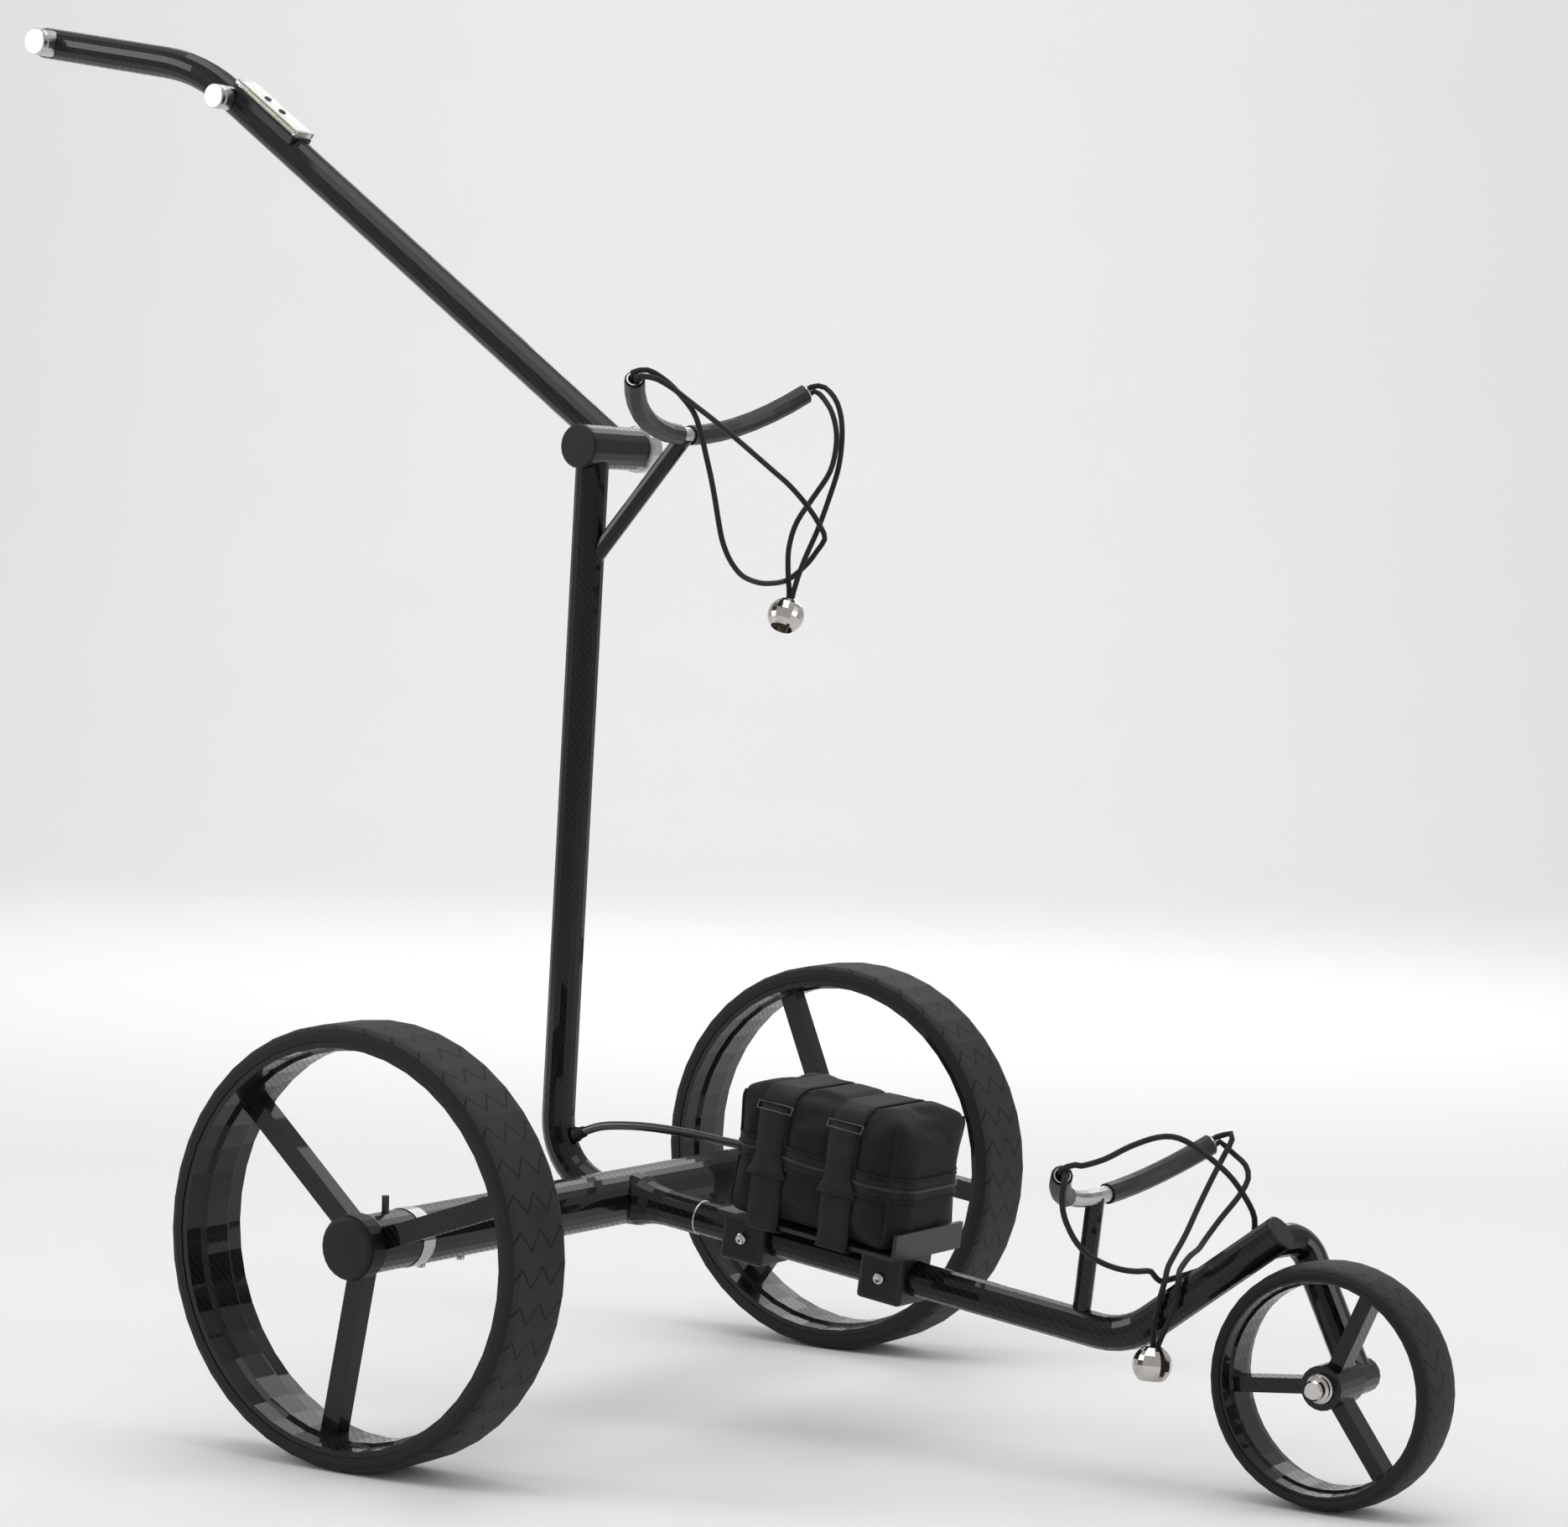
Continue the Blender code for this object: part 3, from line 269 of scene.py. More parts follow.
CARBON = carbon_weave()
RUBBER = moulded(
    "soft_rubber", (0.004, 0.004, 0.004), (0.009, 0.009, 0.009), 0.42, 0.55, Specular_ior_level=0.3)
SLEEVE = moulded(
    "sleeve_rubber", (0.010, 0.010, 0.0105), (0.020, 0.020, 0.021), 0.34, 0.46, Specular_ior_level=0.4)
PLASTIC = moulded(
    "black_plastic", (0.004, 0.004, 0.0045), (0.009, 0.009, 0.0095), 0.32, 0.45, Specular_ior_level=0.35)
SATIN = moulded("satin_tray", (0.008, 0.008, 0.0085), (0.016, 0.016, 0.0165), 0.3, 0.42, 0.00003)
SHEATH = moulded(
    "cable_sheath", (0.008, 0.008, 0.008), (0.014, 0.014, 0.014), 0.2, 0.3, 0.00002, Coat_weight=0.4)
DARK_PIN = metal("dark_steel", (0.05, 0.05, 0.052), (0.11, 0.11, 0.115), 0.25, 0.4, (1, 1, 1))
ALUMINIUM = metal("brushed_aluminium", (0.42, 0.41, 0.40), (0.62, 0.61, 0.59), 0.22, 0.36, (6, 0.4, 6))
STEEL = metal("zinc_steel", (0.45, 0.45, 0.46), (0.62, 0.62, 0.63), 0.25, 0.4, (1, 5, 1))
CHROME = metal("polished_steel", (0.50, 0.47, 0.44), (0.64, 0.61, 0.58), 0.07, 0.13, (1, 1, 1), 120, 0.000006)
NYLON = woven(
    "bag_nylon", (0.0025, 0.0025, 0.0028), (0.0085, 0.0085, 0.009), (1, 0, 1), 0.0012, 0.0001, 0.78)
WEBBING = woven(
    "strap_webbing", (0.004, 0.004, 0.0045), (0.016, 0.016, 0.0165), (0, 1, 1), 0.0016, 0.00025, 0.7)
BRAID = woven("cord_braid", (0.004, 0.004, 0.0045), (0.016, 0.016, 0.0165), (1, 1, 1), 0.0013, 0.0002, 0.6)
ZIP = woven("zip_coil", (0.010, 0.010, 0.0105), (0.05, 0.05, 0.05), (1, 1, 0), 0.0016, 0.0005, 0.4)
BOARD = circuit_board()
CLEAR = moulded(
    "clear_cover", (0.90, 0.92, 0.90), (0.96, 0.97, 0.96), 0.05, 0.12, 0.00001,
    Transmission_weight=0.93, Ior=1.49, Coat_weight=0.4)
WRAP = moulded("cell_wrap", (0.02, 0.05, 0.15), (0.03, 0.07, 0.2), 0.3, 0.42, 0.00002)
REAR_TREAD = tread_rubber(
    "rear_tyre_rubber", at(0, 0, REAR_WHEEL_RADIUS), REAR_WHEEL_RADIUS, 0.0245, 0.1472)
FRONT_TREAD = tread_rubber(
    "front_tyre_rubber", at(WHEELBASE, 0, FRONT_WHEEL_RADIUS), FRONT_WHEEL_RADIUS, 0.0160, 0.0790)

FINISHED = {
    CARBON: """axle_tube column_tube column_barrel handle_barrel handle_tube front_tube front_fork socket_lug
        bracket_strut bracket_post rim_left rim_right rim_front""",
    RUBBER: "hub_cap_left hub_cap_right console_button_up console_button_down",
    SLEEVE: "upper_sleeve_left upper_sleeve_right lower_sleeve_left lower_sleeve_right",
    PLASTIC: "console_base barrel_cap front_tube_cap tray_clamp_front tray_clamp_rear",
    SATIN: "battery_tray",
    DARK_PIN: "release_pin_left release_pin_right gear_motor_left gear_motor_right",
    ALUMINIUM: """axle_collar_left axle_collar_right clamp_knob speed_knob power_knob upper_saddle
        lower_saddle""",
    STEEL: "drive_shaft_left drive_shaft_right hinge_pin front_axle tracking_screw",
    CHROME: "upper_ball lower_ball nose_nut",
    BOARD: "console_board",
    CLEAR: "console_cover",
    WRAP: "battery_pack",
    REAR_TREAD: "tyre_left tyre_right",
    FRONT_TREAD: "tyre_front",
    NYLON: "battery_bag",
    WEBBING: "bag_strap_front bag_strap_rear",
    BRAID: "upper_cord_left upper_cord_right lower_cord_left lower_cord_right",
    SHEATH: "battery_lead",
}
for material, names in FINISHED.items():
    for name in names.split():
        node = nodes_by_name[name]
        node.data.materials.clear()
        node.data.materials.append(material)

# Every node with round faces is shaded smooth, except across edges sharper than this.
CREASE = math.radians(38)
FLAT_NODES = """
    bag_strap_front bag_strap_rear battery_bag battery_lead battery_pack battery_tray console_base
    console_board console_button_down console_button_up console_cover drive_shaft_left
    drive_shaft_right front_axle gear_motor_left gear_motor_right lower_cord_left lower_cord_right
    release_pin_left release_pin_right tracking_screw tray_clamp_front tray_clamp_rear
    upper_cord_left upper_cord_right
""".split()
for name, node in nodes_by_name.items():
    if name in FLAT_NODES:
        continue
    node.data.shade_smooth()
    edges = bmesh.new()
    edges.from_mesh(node.data)
    for edge in edges.edges:
        edge.smooth = len(edge.link_faces) == 2 and edge.calc_face_angle(3.0) < CREASE
    edges.to_mesh(node.data)
    edges.free()


# ---- Making pieces ---------------------------------------------------------------------
def add_piece(name, shape, material, body="chassis"):
    """A piece from a BMesh, or from finished mesh or curve data, riding on a CAD body."""
    if isinstance(shape, bmesh.types.BMesh):
        bmesh.ops.recalc_face_normals(shape, faces=shape.faces)
        for face in shape.faces:
            face.smooth = True
        data = bpy.data.meshes.new(name)
        shape.to_mesh(data)
        shape.free()
    else:
        data = shape
    data.materials.append(material)
    obj = bpy.data.objects.new(name, data)
    scene.collection.objects.link(obj)
    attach(obj, body)
    return obj


def smooth_route(route, spacing):
    """Evenly spaced points on a smooth curve through a route's points."""
    knots = np.array([tuple(point) for point in route])
    ends = np.vstack([2 * knots[0] - knots[1], knots, 2 * knots[-1] - knots[-2]])
    dense = []
    for a, b, c, d in zip(ends, ends[1:], ends[2:], ends[3:]):
        for t in np.linspace(0, 1, 24, endpoint=False):
            bend = (2 * a - 5 * b + 4 * c - d) * t**2
            twist = (3 * b - a - 3 * c + d) * t**3
            dense.append((2 * b + (c - a) * t + bend + twist) / 2)
    dense.append(knots[-1])
    dense = np.array(dense)
    travel = np.concatenate([[0], np.cumsum(np.linalg.norm(np.diff(dense, axis=0), axis=1))])
    count = max(2, round(travel[-1] / spacing))
    marks = np.linspace(0, travel[-1], count + 1)
    return [Vector([np.interp(mark, travel, dense[:, k]) for k in range(3)]) for mark in marks]


def wire(name, points, diameter, material, body="chassis", closed=False, resolution=4):
    """A round wire or cord as a curve with a bevel."""
    curve = bpy.data.curves.new(name, "CURVE")
    curve.dimensions = "3D"
    curve.bevel_depth = diameter / 2
    curve.bevel_resolution = resolution
    curve.use_fill_caps = not closed
    spline = curve.splines.new("POLY")
    spline.points.add(len(points) - 1)
    for target, point in zip(spline.points, points):
        target.co = (*point, 1.0)
    spline.use_cyclic_u = closed
    spline.use_smooth = True
    return add_piece(name, curve, material, body)


def lathe(name, profile, origin, axis, material, body="chassis", segments=40):
    """A turned part: profile points are (radius, distance along the axis)."""
    shape = bmesh.new()
    turn = Vector((0, 0, 1)).rotation_difference(Vector(axis).normalized())
    rings = []
    for radius, along in profile:
        count = 1 if radius == 0 else segments
        ring = []
        for i in range(count):
            bearing = math.tau * i / segments
            spot = Vector((radius * math.cos(bearing), radius * math.sin(bearing), along))
            ring.append(shape.verts.new(Vector(origin) + turn @ spot))
        rings.append(ring)
    for first, second in zip(rings, rings[1:]):
        for i in range(segments):
            j = (i + 1) % segments
            near = (first[i % len(first)], first[j % len(first)])
            far = (second[j % len(second)], second[i % len(second)])
            unique = list(dict.fromkeys(near + far))
            if len(unique) > 2:
                shape.faces.new(unique)
    return add_piece(name, shape, material, body)


# ---- Cords -----------------------------------------------------------------------------
UPPER_RIGHT_ROUTE = [
    (0.0836, -0.1070, 0.7432), (0.0868, -0.1010, 0.7425), (0.0905, -0.0900, 0.7370),
    (0.0911, -0.0765, 0.7300), (0.0925, -0.0580, 0.7160), (0.0930, -0.0490, 0.7010),
    (0.0932, -0.0430, 0.6864), (0.0938, -0.0380, 0.6728), (0.0942, -0.0330, 0.6573),
    (0.0941, -0.0280, 0.6416), (0.0941, -0.0235, 0.6289), (0.0938, -0.0170, 0.6190),
    (0.0932, -0.0075, 0.6100), (0.0903, 0.0100, 0.6020), (0.0857, 0.0380, 0.5976),
    (0.0827, 0.0640, 0.5979), (0.0808, 0.0810, 0.6003), (0.0835, 0.0885, 0.6050),
    (0.0890, 0.0950, 0.6130), (0.0940, 0.0998, 0.6225), (0.1010, 0.0983, 0.6310),
    (0.1025, 0.0890, 0.6400), (0.1015, 0.0815, 0.6480), (0.0985, 0.0720, 0.6580),
    (0.0957, 0.0570, 0.6692), (0.0949, 0.0400, 0.6775), (0.0939, 0.0020, 0.6954),
    (0.0945, -0.0340, 0.7106), (0.0965, -0.0670, 0.7225), (0.0962, -0.0880, 0.7310),
    (0.0925, -0.1020, 0.7370), (0.0880, -0.1100, 0.7385),
]
UPPER_LEFT_ROUTE = [
    (0.0850, 0.1145, 0.7425), (0.0915, 0.1155, 0.7385), (0.0985, 0.1150, 0.7304),
    (0.1042, 0.1125, 0.7180), (0.1073, 0.1090, 0.7016), (0.1069, 0.1052, 0.6811),
    (0.1017, 0.1010, 0.6586), (0.0961, 0.0960, 0.6371), (0.0914, 0.0885, 0.6180),
    (0.0903, 0.0810, 0.6043), (0.0897, 0.0760, 0.5930), (0.0890, 0.0735, 0.5850),
    (0.0882, 0.0712, 0.5790), (0.0873, 0.0700, 0.5762), (0.0862, 0.0726, 0.5800),
    (0.0853, 0.0762, 0.5870), (0.0854, 0.0755, 0.5960), (0.0858, 0.0735, 0.6072),
    (0.0852, 0.0750, 0.6234), (0.0871, 0.0815, 0.6418), (0.0954, 0.0905, 0.6604),
    (0.1042, 0.0980, 0.6785), (0.1066, 0.1020, 0.6952), (0.1055, 0.1040, 0.7095),
    (0.1000, 0.1060, 0.7229), (0.0921, 0.1085, 0.7318), (0.0860, 0.1105, 0.7365),
]
LOWER_RIGHT_ROUTE = [
    (0.4340, -0.1000, 0.2235), (0.4372, -0.0940, 0.2225), (0.4462, -0.0800, 0.2262),
    (0.4542, -0.0620, 0.2331), (0.4635, -0.0460, 0.2381), (0.4704, -0.0350, 0.2387),
    (0.4760, -0.0260, 0.2355), (0.4817, -0.0170, 0.2293), (0.4902, -0.0080, 0.2199),
    (0.4966, 0.0000, 0.2108), (0.5009, 0.0070, 0.2011), (0.5040, 0.0140, 0.1908),
    (0.5052, 0.0190, 0.1816), (0.5030, 0.0220, 0.1700), (0.4960, 0.0235, 0.1600),
    (0.4860, 0.0235, 0.1530), (0.4729, 0.0228, 0.1470), (0.4605, 0.0215, 0.1410),
    (0.4510, 0.0130, 0.1372), (0.4455, 0.0010, 0.1355), (0.4446, -0.0060, 0.1395),
    (0.4462, -0.0160, 0.1446), (0.4463, -0.0350, 0.1468), (0.4445, -0.0530, 0.1503),
    (0.4416, -0.0690, 0.1555), (0.4376, -0.0830, 0.1626), (0.4346, -0.0940, 0.1717),
    (0.4326, -0.1020, 0.1826), (0.4320, -0.1080, 0.1933), (0.4332, -0.1120, 0.2055),
    (0.4345, -0.1115, 0.2130),
]
LOWER_LEFT_ROUTE = [
    (0.4345, 0.1085, 0.2225), (0.4395, 0.1085, 0.2235), (0.4415, 0.1050, 0.2190),
    (0.4398, 0.0980, 0.2100), (0.4388, 0.0820, 0.1945), (0.4402, 0.0620, 0.1790),
    (0.4435, 0.0380, 0.1625), (0.4455, 0.0200, 0.1520), (0.4478, 0.0060, 0.1445),
    (0.4508, -0.0030, 0.1375), (0.4530, -0.0120, 0.1295), (0.4522, -0.0155, 0.1204),
    (0.4512, -0.0180, 0.1091), (0.4505, -0.0170, 0.0985), (0.4508, -0.0185, 0.0900),
    (0.4520, -0.0205, 0.0860), (0.4534, -0.0190, 0.0900), (0.4560, -0.0185, 0.0990),
    (0.4625, -0.0195, 0.1115), (0.4665, -0.0168, 0.1250), (0.4665, -0.0145, 0.1362),
    (0.4645, -0.0085, 0.1428), (0.4606, -0.0010, 0.1448), (0.4572, 0.0180, 0.1510),
    (0.4535, 0.0380, 0.1536), (0.4516, 0.0520, 0.1590), (0.4528, 0.0700, 0.1703),
    (0.4566, 0.0890, 0.1842), (0.4581, 0.0990, 0.1952), (0.4534, 0.1035, 0.2035),
    (0.4450, 0.1068, 0.2082), (0.4375, 0.1085, 0.2125),
]
LEAD_ROUTE = [
    (-0.0428, 0, 0.1915), (-0.0337, 0, 0.1951), (-0.0186, 0, 0.1996),
    (0.0041, 0, 0.2018), (0.0266, 0, 0.2023), (0.0564, 0, 0.2010),
    (0.0918, 0, 0.1977), (0.1078, 0, 0.1963), (0.1215, 0, 0.1950),
]


def placed(route):
    return [at(*point) for point in route]


def cord_loop(middle, end, side, route):
    """A loop whose two ends lie side by side in an open end of a saddle tube."""
    half_chord = end.y
    sag_line = Vector((end.x - middle.x, 0, end.z - middle.z))
    lean = sag_line.normalized()
    radius = (half_chord**2 + sag_line.length**2) / (2 * sag_line.length)
    turn = math.asin(half_chord / radius)
    outward = lean * math.sin(turn) + Vector((0, side * math.cos(turn), 0))
    first = Vector((lean.z, 0, -lean.x)) * -0.0022
    mouth = Vector((end.x, side * half_chord, end.z))
    leaving = [mouth + outward * reach + first for reach in (-0.0060, 0.0020, 0.0055)]
    entering = [mouth + outward * reach - first for reach in (0.0055, 0.0020, -0.0060)]
    return leaving + placed(route) + entering


UPPER_SADDLE = (at(0.0435, 0, 0.7025), at(0.0773, 0.1075, 0.7373))
LOWER_SADDLE = (at(0.3947, 0, 0.1877), at(0.4278, 0.1028, 0.2165))
CORDS = (
    ("upper_elastic_right", "upper_cord_right", UPPER_SADDLE, -1, UPPER_RIGHT_ROUTE, []),
    ("upper_elastic_left", "upper_cord_left", UPPER_SADDLE, 1, UPPER_LEFT_ROUTE, ["upper_ball"]),
    ("lower_elastic_right", "lower_cord_right", LOWER_SADDLE, -1, LOWER_RIGHT_ROUTE, []),
    ("lower_elastic_left", "lower_cord_left", LOWER_SADDLE, 1, LOWER_LEFT_ROUTE, ["lower_ball"]),
)
for name, node, (middle, end), side, route, carried in CORDS:
    points = smooth_route(cord_loop(middle, end, side, route), 0.0055)
    piece = wire(name, points, CORD_DIAMETER, BRAID)
    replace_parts(piece, node)

lead_points = smooth_route(placed(LEAD_ROUTE), 0.006)
lead = wire("battery_cable", lead_points, LEAD_DIAMETER, SHEATH)
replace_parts(lead, "battery_lead")


# ---- Battery bag -----------------------------------------------------------------------
bag_low, bag_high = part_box("battery_bag")
BAG_CENTRE = (bag_low + bag_high) / 2
BAG_HALF = Vector((0.0690, 0.0460, 0.04725))
BAG_TURN = Matrix.Translation(BAG_CENTRE) @ Matrix.Rotation(FRAME_FALL, 4, "Y")
STRAPS = (-0.0345, 0.0245)       # their middles along the bag
SIDE_BULGE = 0.0042              # how far the cloth may stand proud between the straps
TOP_BULGE = 0.0045
STRAP_BITE = 0.0006              # how far a strap presses into the cloth
MOST_SWELL = 0.0035              # how far the simulation may move a point


def bag_limit(point):
    """Keeps a point of the bag off the tray, its lip and the straps, which pull it in."""
    along, across, height = point
    height = max(height, -BAG_HALF.z + 0.0006)
    if height < -0.030:
        along = min(along, 0.0712)
    for strap in STRAPS:
        free = 1 - min(1, 2.2 * max(0.0, 1 - abs(along - strap) / 0.021))
        across = math.copysign(min(abs(across), BAG_HALF.y + SIDE_BULGE * free - STRAP_BITE), across)
        height = min(height, BAG_HALF.z + TOP_BULGE * free - STRAP_BITE)
    return Vector((along, across, height))


def bag_mesh():
    """The padded nylon bag, swollen by a cloth simulation and held in by its straps."""
    shape = bmesh.new()
    bmesh.ops.create_cube(shape, size=1)
    bmesh.ops.scale(shape, vec=BAG_HALF * 2 - Vector((0.001, 0.0015, 0.001)), verts=shape.verts)
    bmesh.ops.bevel(
        shape, geom=shape.edges, offset=0.008, segments=4, profile=0.5, affect="EDGES", clamp_overlap=True)
    data = bpy.data.meshes.new("bag_start")
    shape.to_mesh(data)
    shape.free()
    helper = bpy.data.objects.new("bag_start", data)
    scene.collection.objects.link(helper)
    remesh = helper.modifiers.new("remesh", "REMESH")
    remesh.mode = "VOXEL"
    remesh.voxel_size = 0.004
    graph = bpy.context.evaluated_depsgraph_get()
    start = bpy.data.meshes.new_from_object(helper.evaluated_get(graph))
    helper.modifiers.clear()
    helper.data = start
    rest = [vertex.co.copy() for vertex in start.vertices]
    cloth = helper.modifiers.new("cloth", "CLOTH")
    cloth.settings.use_pressure = True
    cloth.settings.uniform_pressure_force = 4
    cloth.settings.effector_weights.gravity = 0
    cloth.collision_settings.use_collision = False
    for step in range(1, 21):
        scene.frame_set(step)
    graph = bpy.context.evaluated_depsgraph_get()
    start = bpy.data.meshes.new_from_object(helper.evaluated_get(graph))
    helper.modifiers.clear()
    scene.frame_set(1)
    for vertex, before in zip(start.vertices, rest):
        shift = vertex.co - before
        if shift.length > MOST_SWELL:
            shift *= MOST_SWELL / shift.length
        vertex.co = bag_limit(before + shift)
    bpy.data.objects.remove(helper)
    return start


bag_data = bag_mesh()
bag_surface = BVHTree.FromPolygons(
    [vertex.co for vertex in bag_data.vertices], [tuple(face.vertices) for face in bag_data.polygons])
bag_data.transform(BAG_TURN)
bag_data.shade_smooth()
bag = add_piece("padded_bag", bag_data, NYLON)
bag.modifiers.new("smooth", "SUBSURF").levels = 1
bag.modifiers["smooth"].render_levels = 1
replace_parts(bag, "battery_bag")
cells = bmesh.new()
bmesh.ops.create_cube(cells, size=1, matrix=BAG_TURN @ Matrix.Diagonal((0.116, 0.068, 0.072, 1)))
bmesh.ops.bevel(cells, geom=cells.edges, offset=0.006, segments=3, profile=0.5, affect="EDGES")
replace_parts(add_piece("battery_cells", cells, WRAP), "battery_pack")


def on_bag(start, direction, lift):
    """The point where a ray from inside the bag leaves it, lifted off the cloth."""
    hit, normal, _, _ = bag_surface.ray_cast(Vector(start), Vector(direction).normalized())
    if hit is None:
        hit = Vector(start) + Vector(direction).normalized() * 0.04
        normal = Vector(direction).normalized()
    return hit + normal * lift


def grid_piece(name, rows, material, thickness, closed=False):
    """A thin strip of cloth from rows of points in the bag's own space."""
    shape = bmesh.new()
    grid = [[shape.verts.new(BAG_TURN @ point) for point in row] for row in rows]
    following = grid[1:] + grid[:1] if closed else grid[1:]
    for first, second in zip(grid, following):
        for i in range(len(first) - 1):
            shape.faces.new((first[i], first[i + 1], second[i + 1], second[i]))
    piece = add_piece(name, shape, material)
    solid = piece.modifiers.new("thickness", "SOLIDIFY")
    solid.thickness = thickness
    solid.offset = 0
    return piece


def around(count=120):
    """Directions round the bag, seen from above, spaced evenly along its sides."""
    for i in range(count):
        turn = math.tau * i / count
        yield Vector((
            BAG_HALF.x * math.copysign(abs(math.cos(turn)) ** 0.6, math.cos(turn)),
            BAG_HALF.y * math.copysign(abs(math.sin(turn)) ** 0.6, math.sin(turn)), 0))


def band_height(along):
    return 0.0005 - 0.06 * along


def ring_on_bag(offset, lift):
    points = []
    for direction in around():
        height = band_height(direction.x) + offset
        points.append(on_bag((0, 0, height), direction, lift))
    return points


ZIP_HALF = 0.0078
tape_rings = [ring_on_bag(offset, 0.0007) for offset in (-ZIP_HALF, -0.004, 0, 0.004, ZIP_HALF)]
grid_piece("zip_tape", [list(row) for row in zip(*tape_rings)], WEBBING, 0.0008, closed=True)
for word, offset in (("low", -ZIP_HALF), ("high", ZIP_HALF)):
    edge_ring = [BAG_TURN @ point for point in ring_on_bag(offset, 0.0009)]
    wire("zip_piping_" + word, edge_ring, 0.0022, NYLON, closed=True)
wire("zip_teeth", [BAG_TURN @ point for point in ring_on_bag(0, 0.0012)], 0.0026, ZIP, closed=True)
CORNERS = (("front_right", (1, -1)), ("front_left", (1, 1)), ("rear_right", (-1, -1)), ("rear_left", (-1, 1)))
for word, corner in CORNERS:
    line = []
    for i in range(23):
        height = -0.041 + 0.082 * i / 22
        line.append(BAG_TURN @ on_bag((0, 0, height), (corner[0] * 0.063, corner[1] * 0.042, 0), 0.0006))
    wire("corner_piping_" + word, line, 0.0024, NYLON)


TRAY_SIDE = 0.0468
TRAY_UNDERSIDE = -0.0524


def strap_rows(along, count=88):
    """Rows of points across a strap that goes round the bag and under its tray."""
    rows = []
    for i in range(count):
        turn = math.tau * i / count
        direction = Vector((0, math.cos(turn) * 0.046, math.sin(turn) * 0.048))
        row = []
        for step in (-0.0125, -0.0062, 0, 0.0062, 0.0125):
            point = on_bag((along + step, 0, 0), direction, 0.0011)
            across, height = point.y, point.z
            if turn > math.pi:
                # Below the bag's waist the strap leaves the cloth and runs round the tray.
                side = math.copysign(max(abs(across), min(TRAY_SIDE, abs(direction.y) * 1.6)), direction.y)
                share = min(1.0, max(0.0, (-height - 0.030) / 0.012))
                across = across * (1 - share) + side * share
                height = height * (1 - share) + TRAY_UNDERSIDE * share
            row.append(Vector((along + step, across, height)))
        rows.append(row)
    return rows


for name, along in zip(("rear", "front"), STRAPS):
    strap = grid_piece("webbing_" + name, strap_rows(along), WEBBING, 0.0013, closed=True)
    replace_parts(strap, "bag_strap_" + name)
    tail = []
    for i in range(12):
        drop = i / 11
        row = []
        for step in (-0.5, -0.2, 0.2, 0.5):
            width = 0.021 + 0.012 * max(0, drop - 0.75) * 4
            height = 0.036 - 0.050 * drop
            point = on_bag((along, 0, height), (0, -1, 0), 0.0034)
            row.append(Vector((along + step * width, point.y, height)))
        tail.append(row)
    grid_piece("strap_tail_" + name, tail, WEBBING, 0.0012)
    buckle = []
    for step, rise in ((-1, 0), (-1, 1), (1, 1), (1, 0)):
        point = on_bag((along, 0, 0.032 + 0.005 * rise), (0, -1, 0), 0.0044)
        buckle.append(BAG_TURN @ Vector((along + step * 0.0142, point.y, 0.032 + 0.005 * rise)))
    wire("buckle_" + name, buckle, 0.0017, DARK_PIN, closed=True)


# ---- Small fittings --------------------------------------------------------------------
def cap_screw(name, centre, axis, radius=0.0042, body="chassis"):
    """A cap screw: a rounded head with a round recess in its face."""
    lathe(name, [
        (0, -0.0006), (radius, -0.0006), (radius, 0.0018), (radius * 0.9, 0.0026), (radius * 0.6, 0.0028),
        (radius * 0.55, 0.0012), (0, 0.0010)], centre, axis, CHROME, body, 30)


for place in ("rear", "front"):
    low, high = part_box("tray_clamp_" + place)
    middle = (low + high) / 2
    for side, word in ((-1, "right"), (1, "left")):
        spot = Vector((middle.x, low.y if side < 0 else high.y, middle.z - 0.001))
        cap_screw(f"clamp_screw_{place}_{word}", spot, (0, side, 0))
axle_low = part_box("axle_tube")[0]
for side, word in ((-1, "right"), (1, "left")):
    for number, reach in enumerate((0.190, 0.233)):
        cap_screw(f"motor_screw_{word}_{number}", at(0, side * reach, axle_low.z), (0, 0, -1), 0.003)
grommet_bore = LEAD_DIAMETER / 2 + 0.0002
grommet = [
    (grommet_bore, -0.002), (0.0056, -0.002), (0.0056, 0.0005), (0.0046, 0.0022), (0.0040, 0.0075),
    (grommet_bore, 0.0080)]
lathe("lead_grommet", grommet, lead_points[0], lead_points[2] - lead_points[0], RUBBER)
SEAM_X = 0.0705
seam_middle = at(SEAM_X, 0, FRAME_HEIGHT - SEAM_X * math.tan(FRAME_FALL))
lathe("lug_seam", [(0.0121, -0.0009), (0.0127, 0), (0.0121, 0.0009)], seam_middle, FRAME_DIRECTION, STEEL)


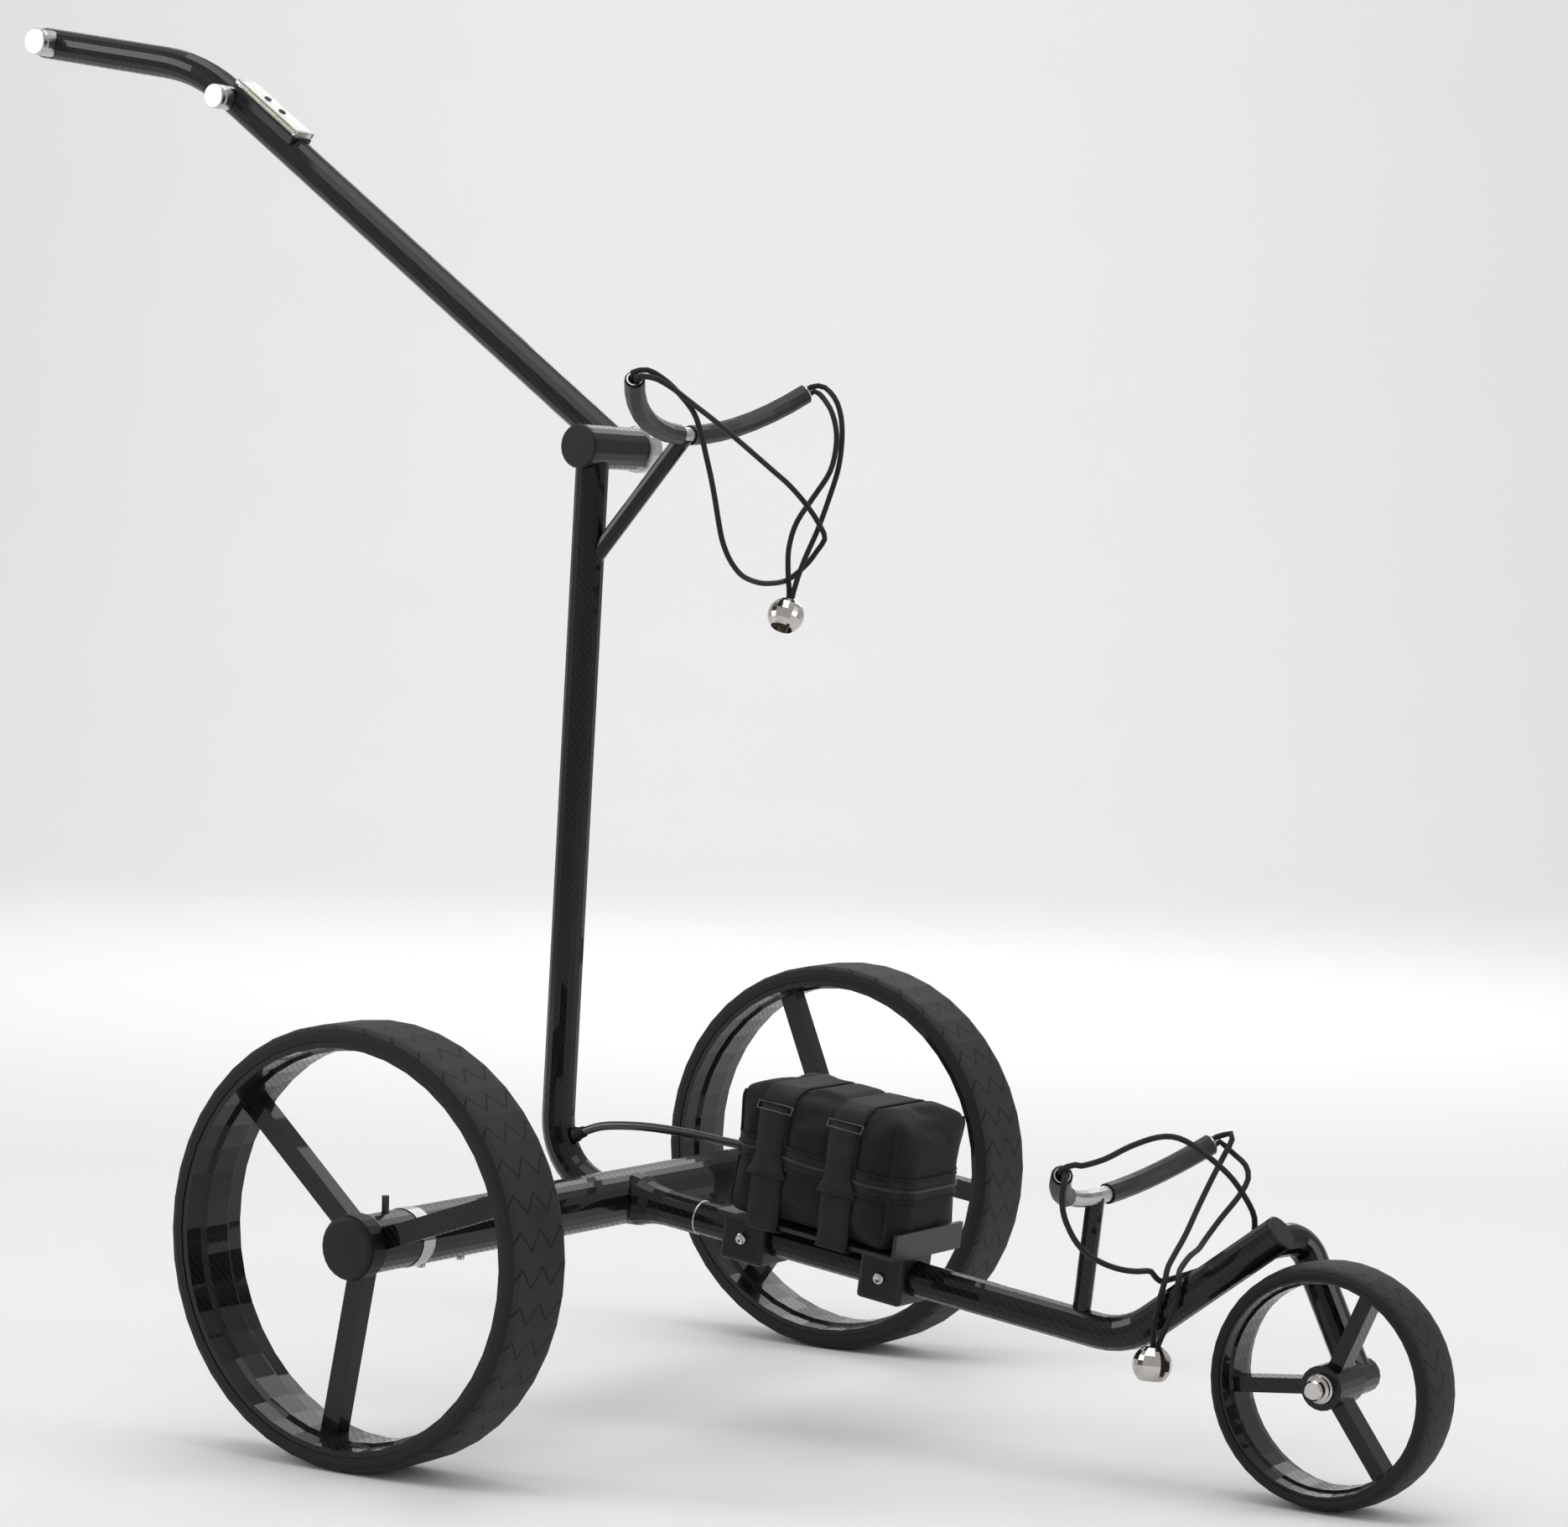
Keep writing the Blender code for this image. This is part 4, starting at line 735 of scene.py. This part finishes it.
# ---- Stage, light and world ------------------------------------------------------------
def add_backdrop():
    """One sheet of pale paper: the floor and, far behind, a wall that curves up from it."""
    away = Vector((-0.559, 0.829, 0)).normalized()
    right = Vector((0.829, 0.559, 0)).normalized()
    profile = [(-9.0, 0), (5.0, 0)]
    for i in range(1, 13):
        turn = math.pi / 2 * i / 12
        profile.append((5.0 + 2.5 * math.sin(turn), 2.5 - 2.5 * math.cos(turn)))
    profile.append((7.5, 7.0))
    shape = bmesh.new()
    rows = []
    for far, up in profile:
        rows.append([shape.verts.new(away * far + right * side + Vector((0, 0, up))) for side in (-9, 9)])
    for first, second in zip(rows, rows[1:]):
        shape.faces.new((first[0], first[1], second[1], second[0])).smooth = True
    data = bpy.data.meshes.new("backdrop")
    shape.to_mesh(data)
    shape.free()
    data.materials.append(floor_paper())
    obj = bpy.data.objects.new("backdrop", data)
    scene.collection.objects.link(obj)


def add_light(name, place, target, size, power, height=None):
    data = bpy.data.lights.new(name, "AREA")
    data.shape = "RECTANGLE"
    data.size = size
    data.size_y = height or size
    data.energy = power
    obj = bpy.data.objects.new(name, data)
    obj.location = place
    obj.rotation_euler = (Vector(target) - Vector(place)).to_track_quat("-Z", "Y").to_euler()
    scene.collection.objects.link(obj)


add_backdrop()
add_light("top_softbox", (0.1, -0.2, 3.2), (0, 0, 0.3), 2.6, 38)
add_light("left_softbox", (-2.6, -1.8, 1.9), (0, 0, 0.4), 1.2, 30, 2.2)
add_light("right_softbox", (2.9, 0.6, 1.7), (0, 0, 0.4), 1.0, 20, 2.2)
add_light("back_softbox", (-0.6, 2.9, 2.3), (0, 0, 0.4), 2.0, 18)
add_light("wall_light", (-1.6, 2.4, 3.4), (-3.6, 5.4, 1.6), 3.0, 100)
world = bpy.data.worlds.new("world")
world.use_nodes = True
world.node_tree.nodes["Background"].inputs["Color"].default_value = (0.95, 0.95, 0.95, 1)
world.node_tree.nodes["Background"].inputs["Strength"].default_value = 0.56
scene.world = world
scene.view_settings.view_transform = "Standard"
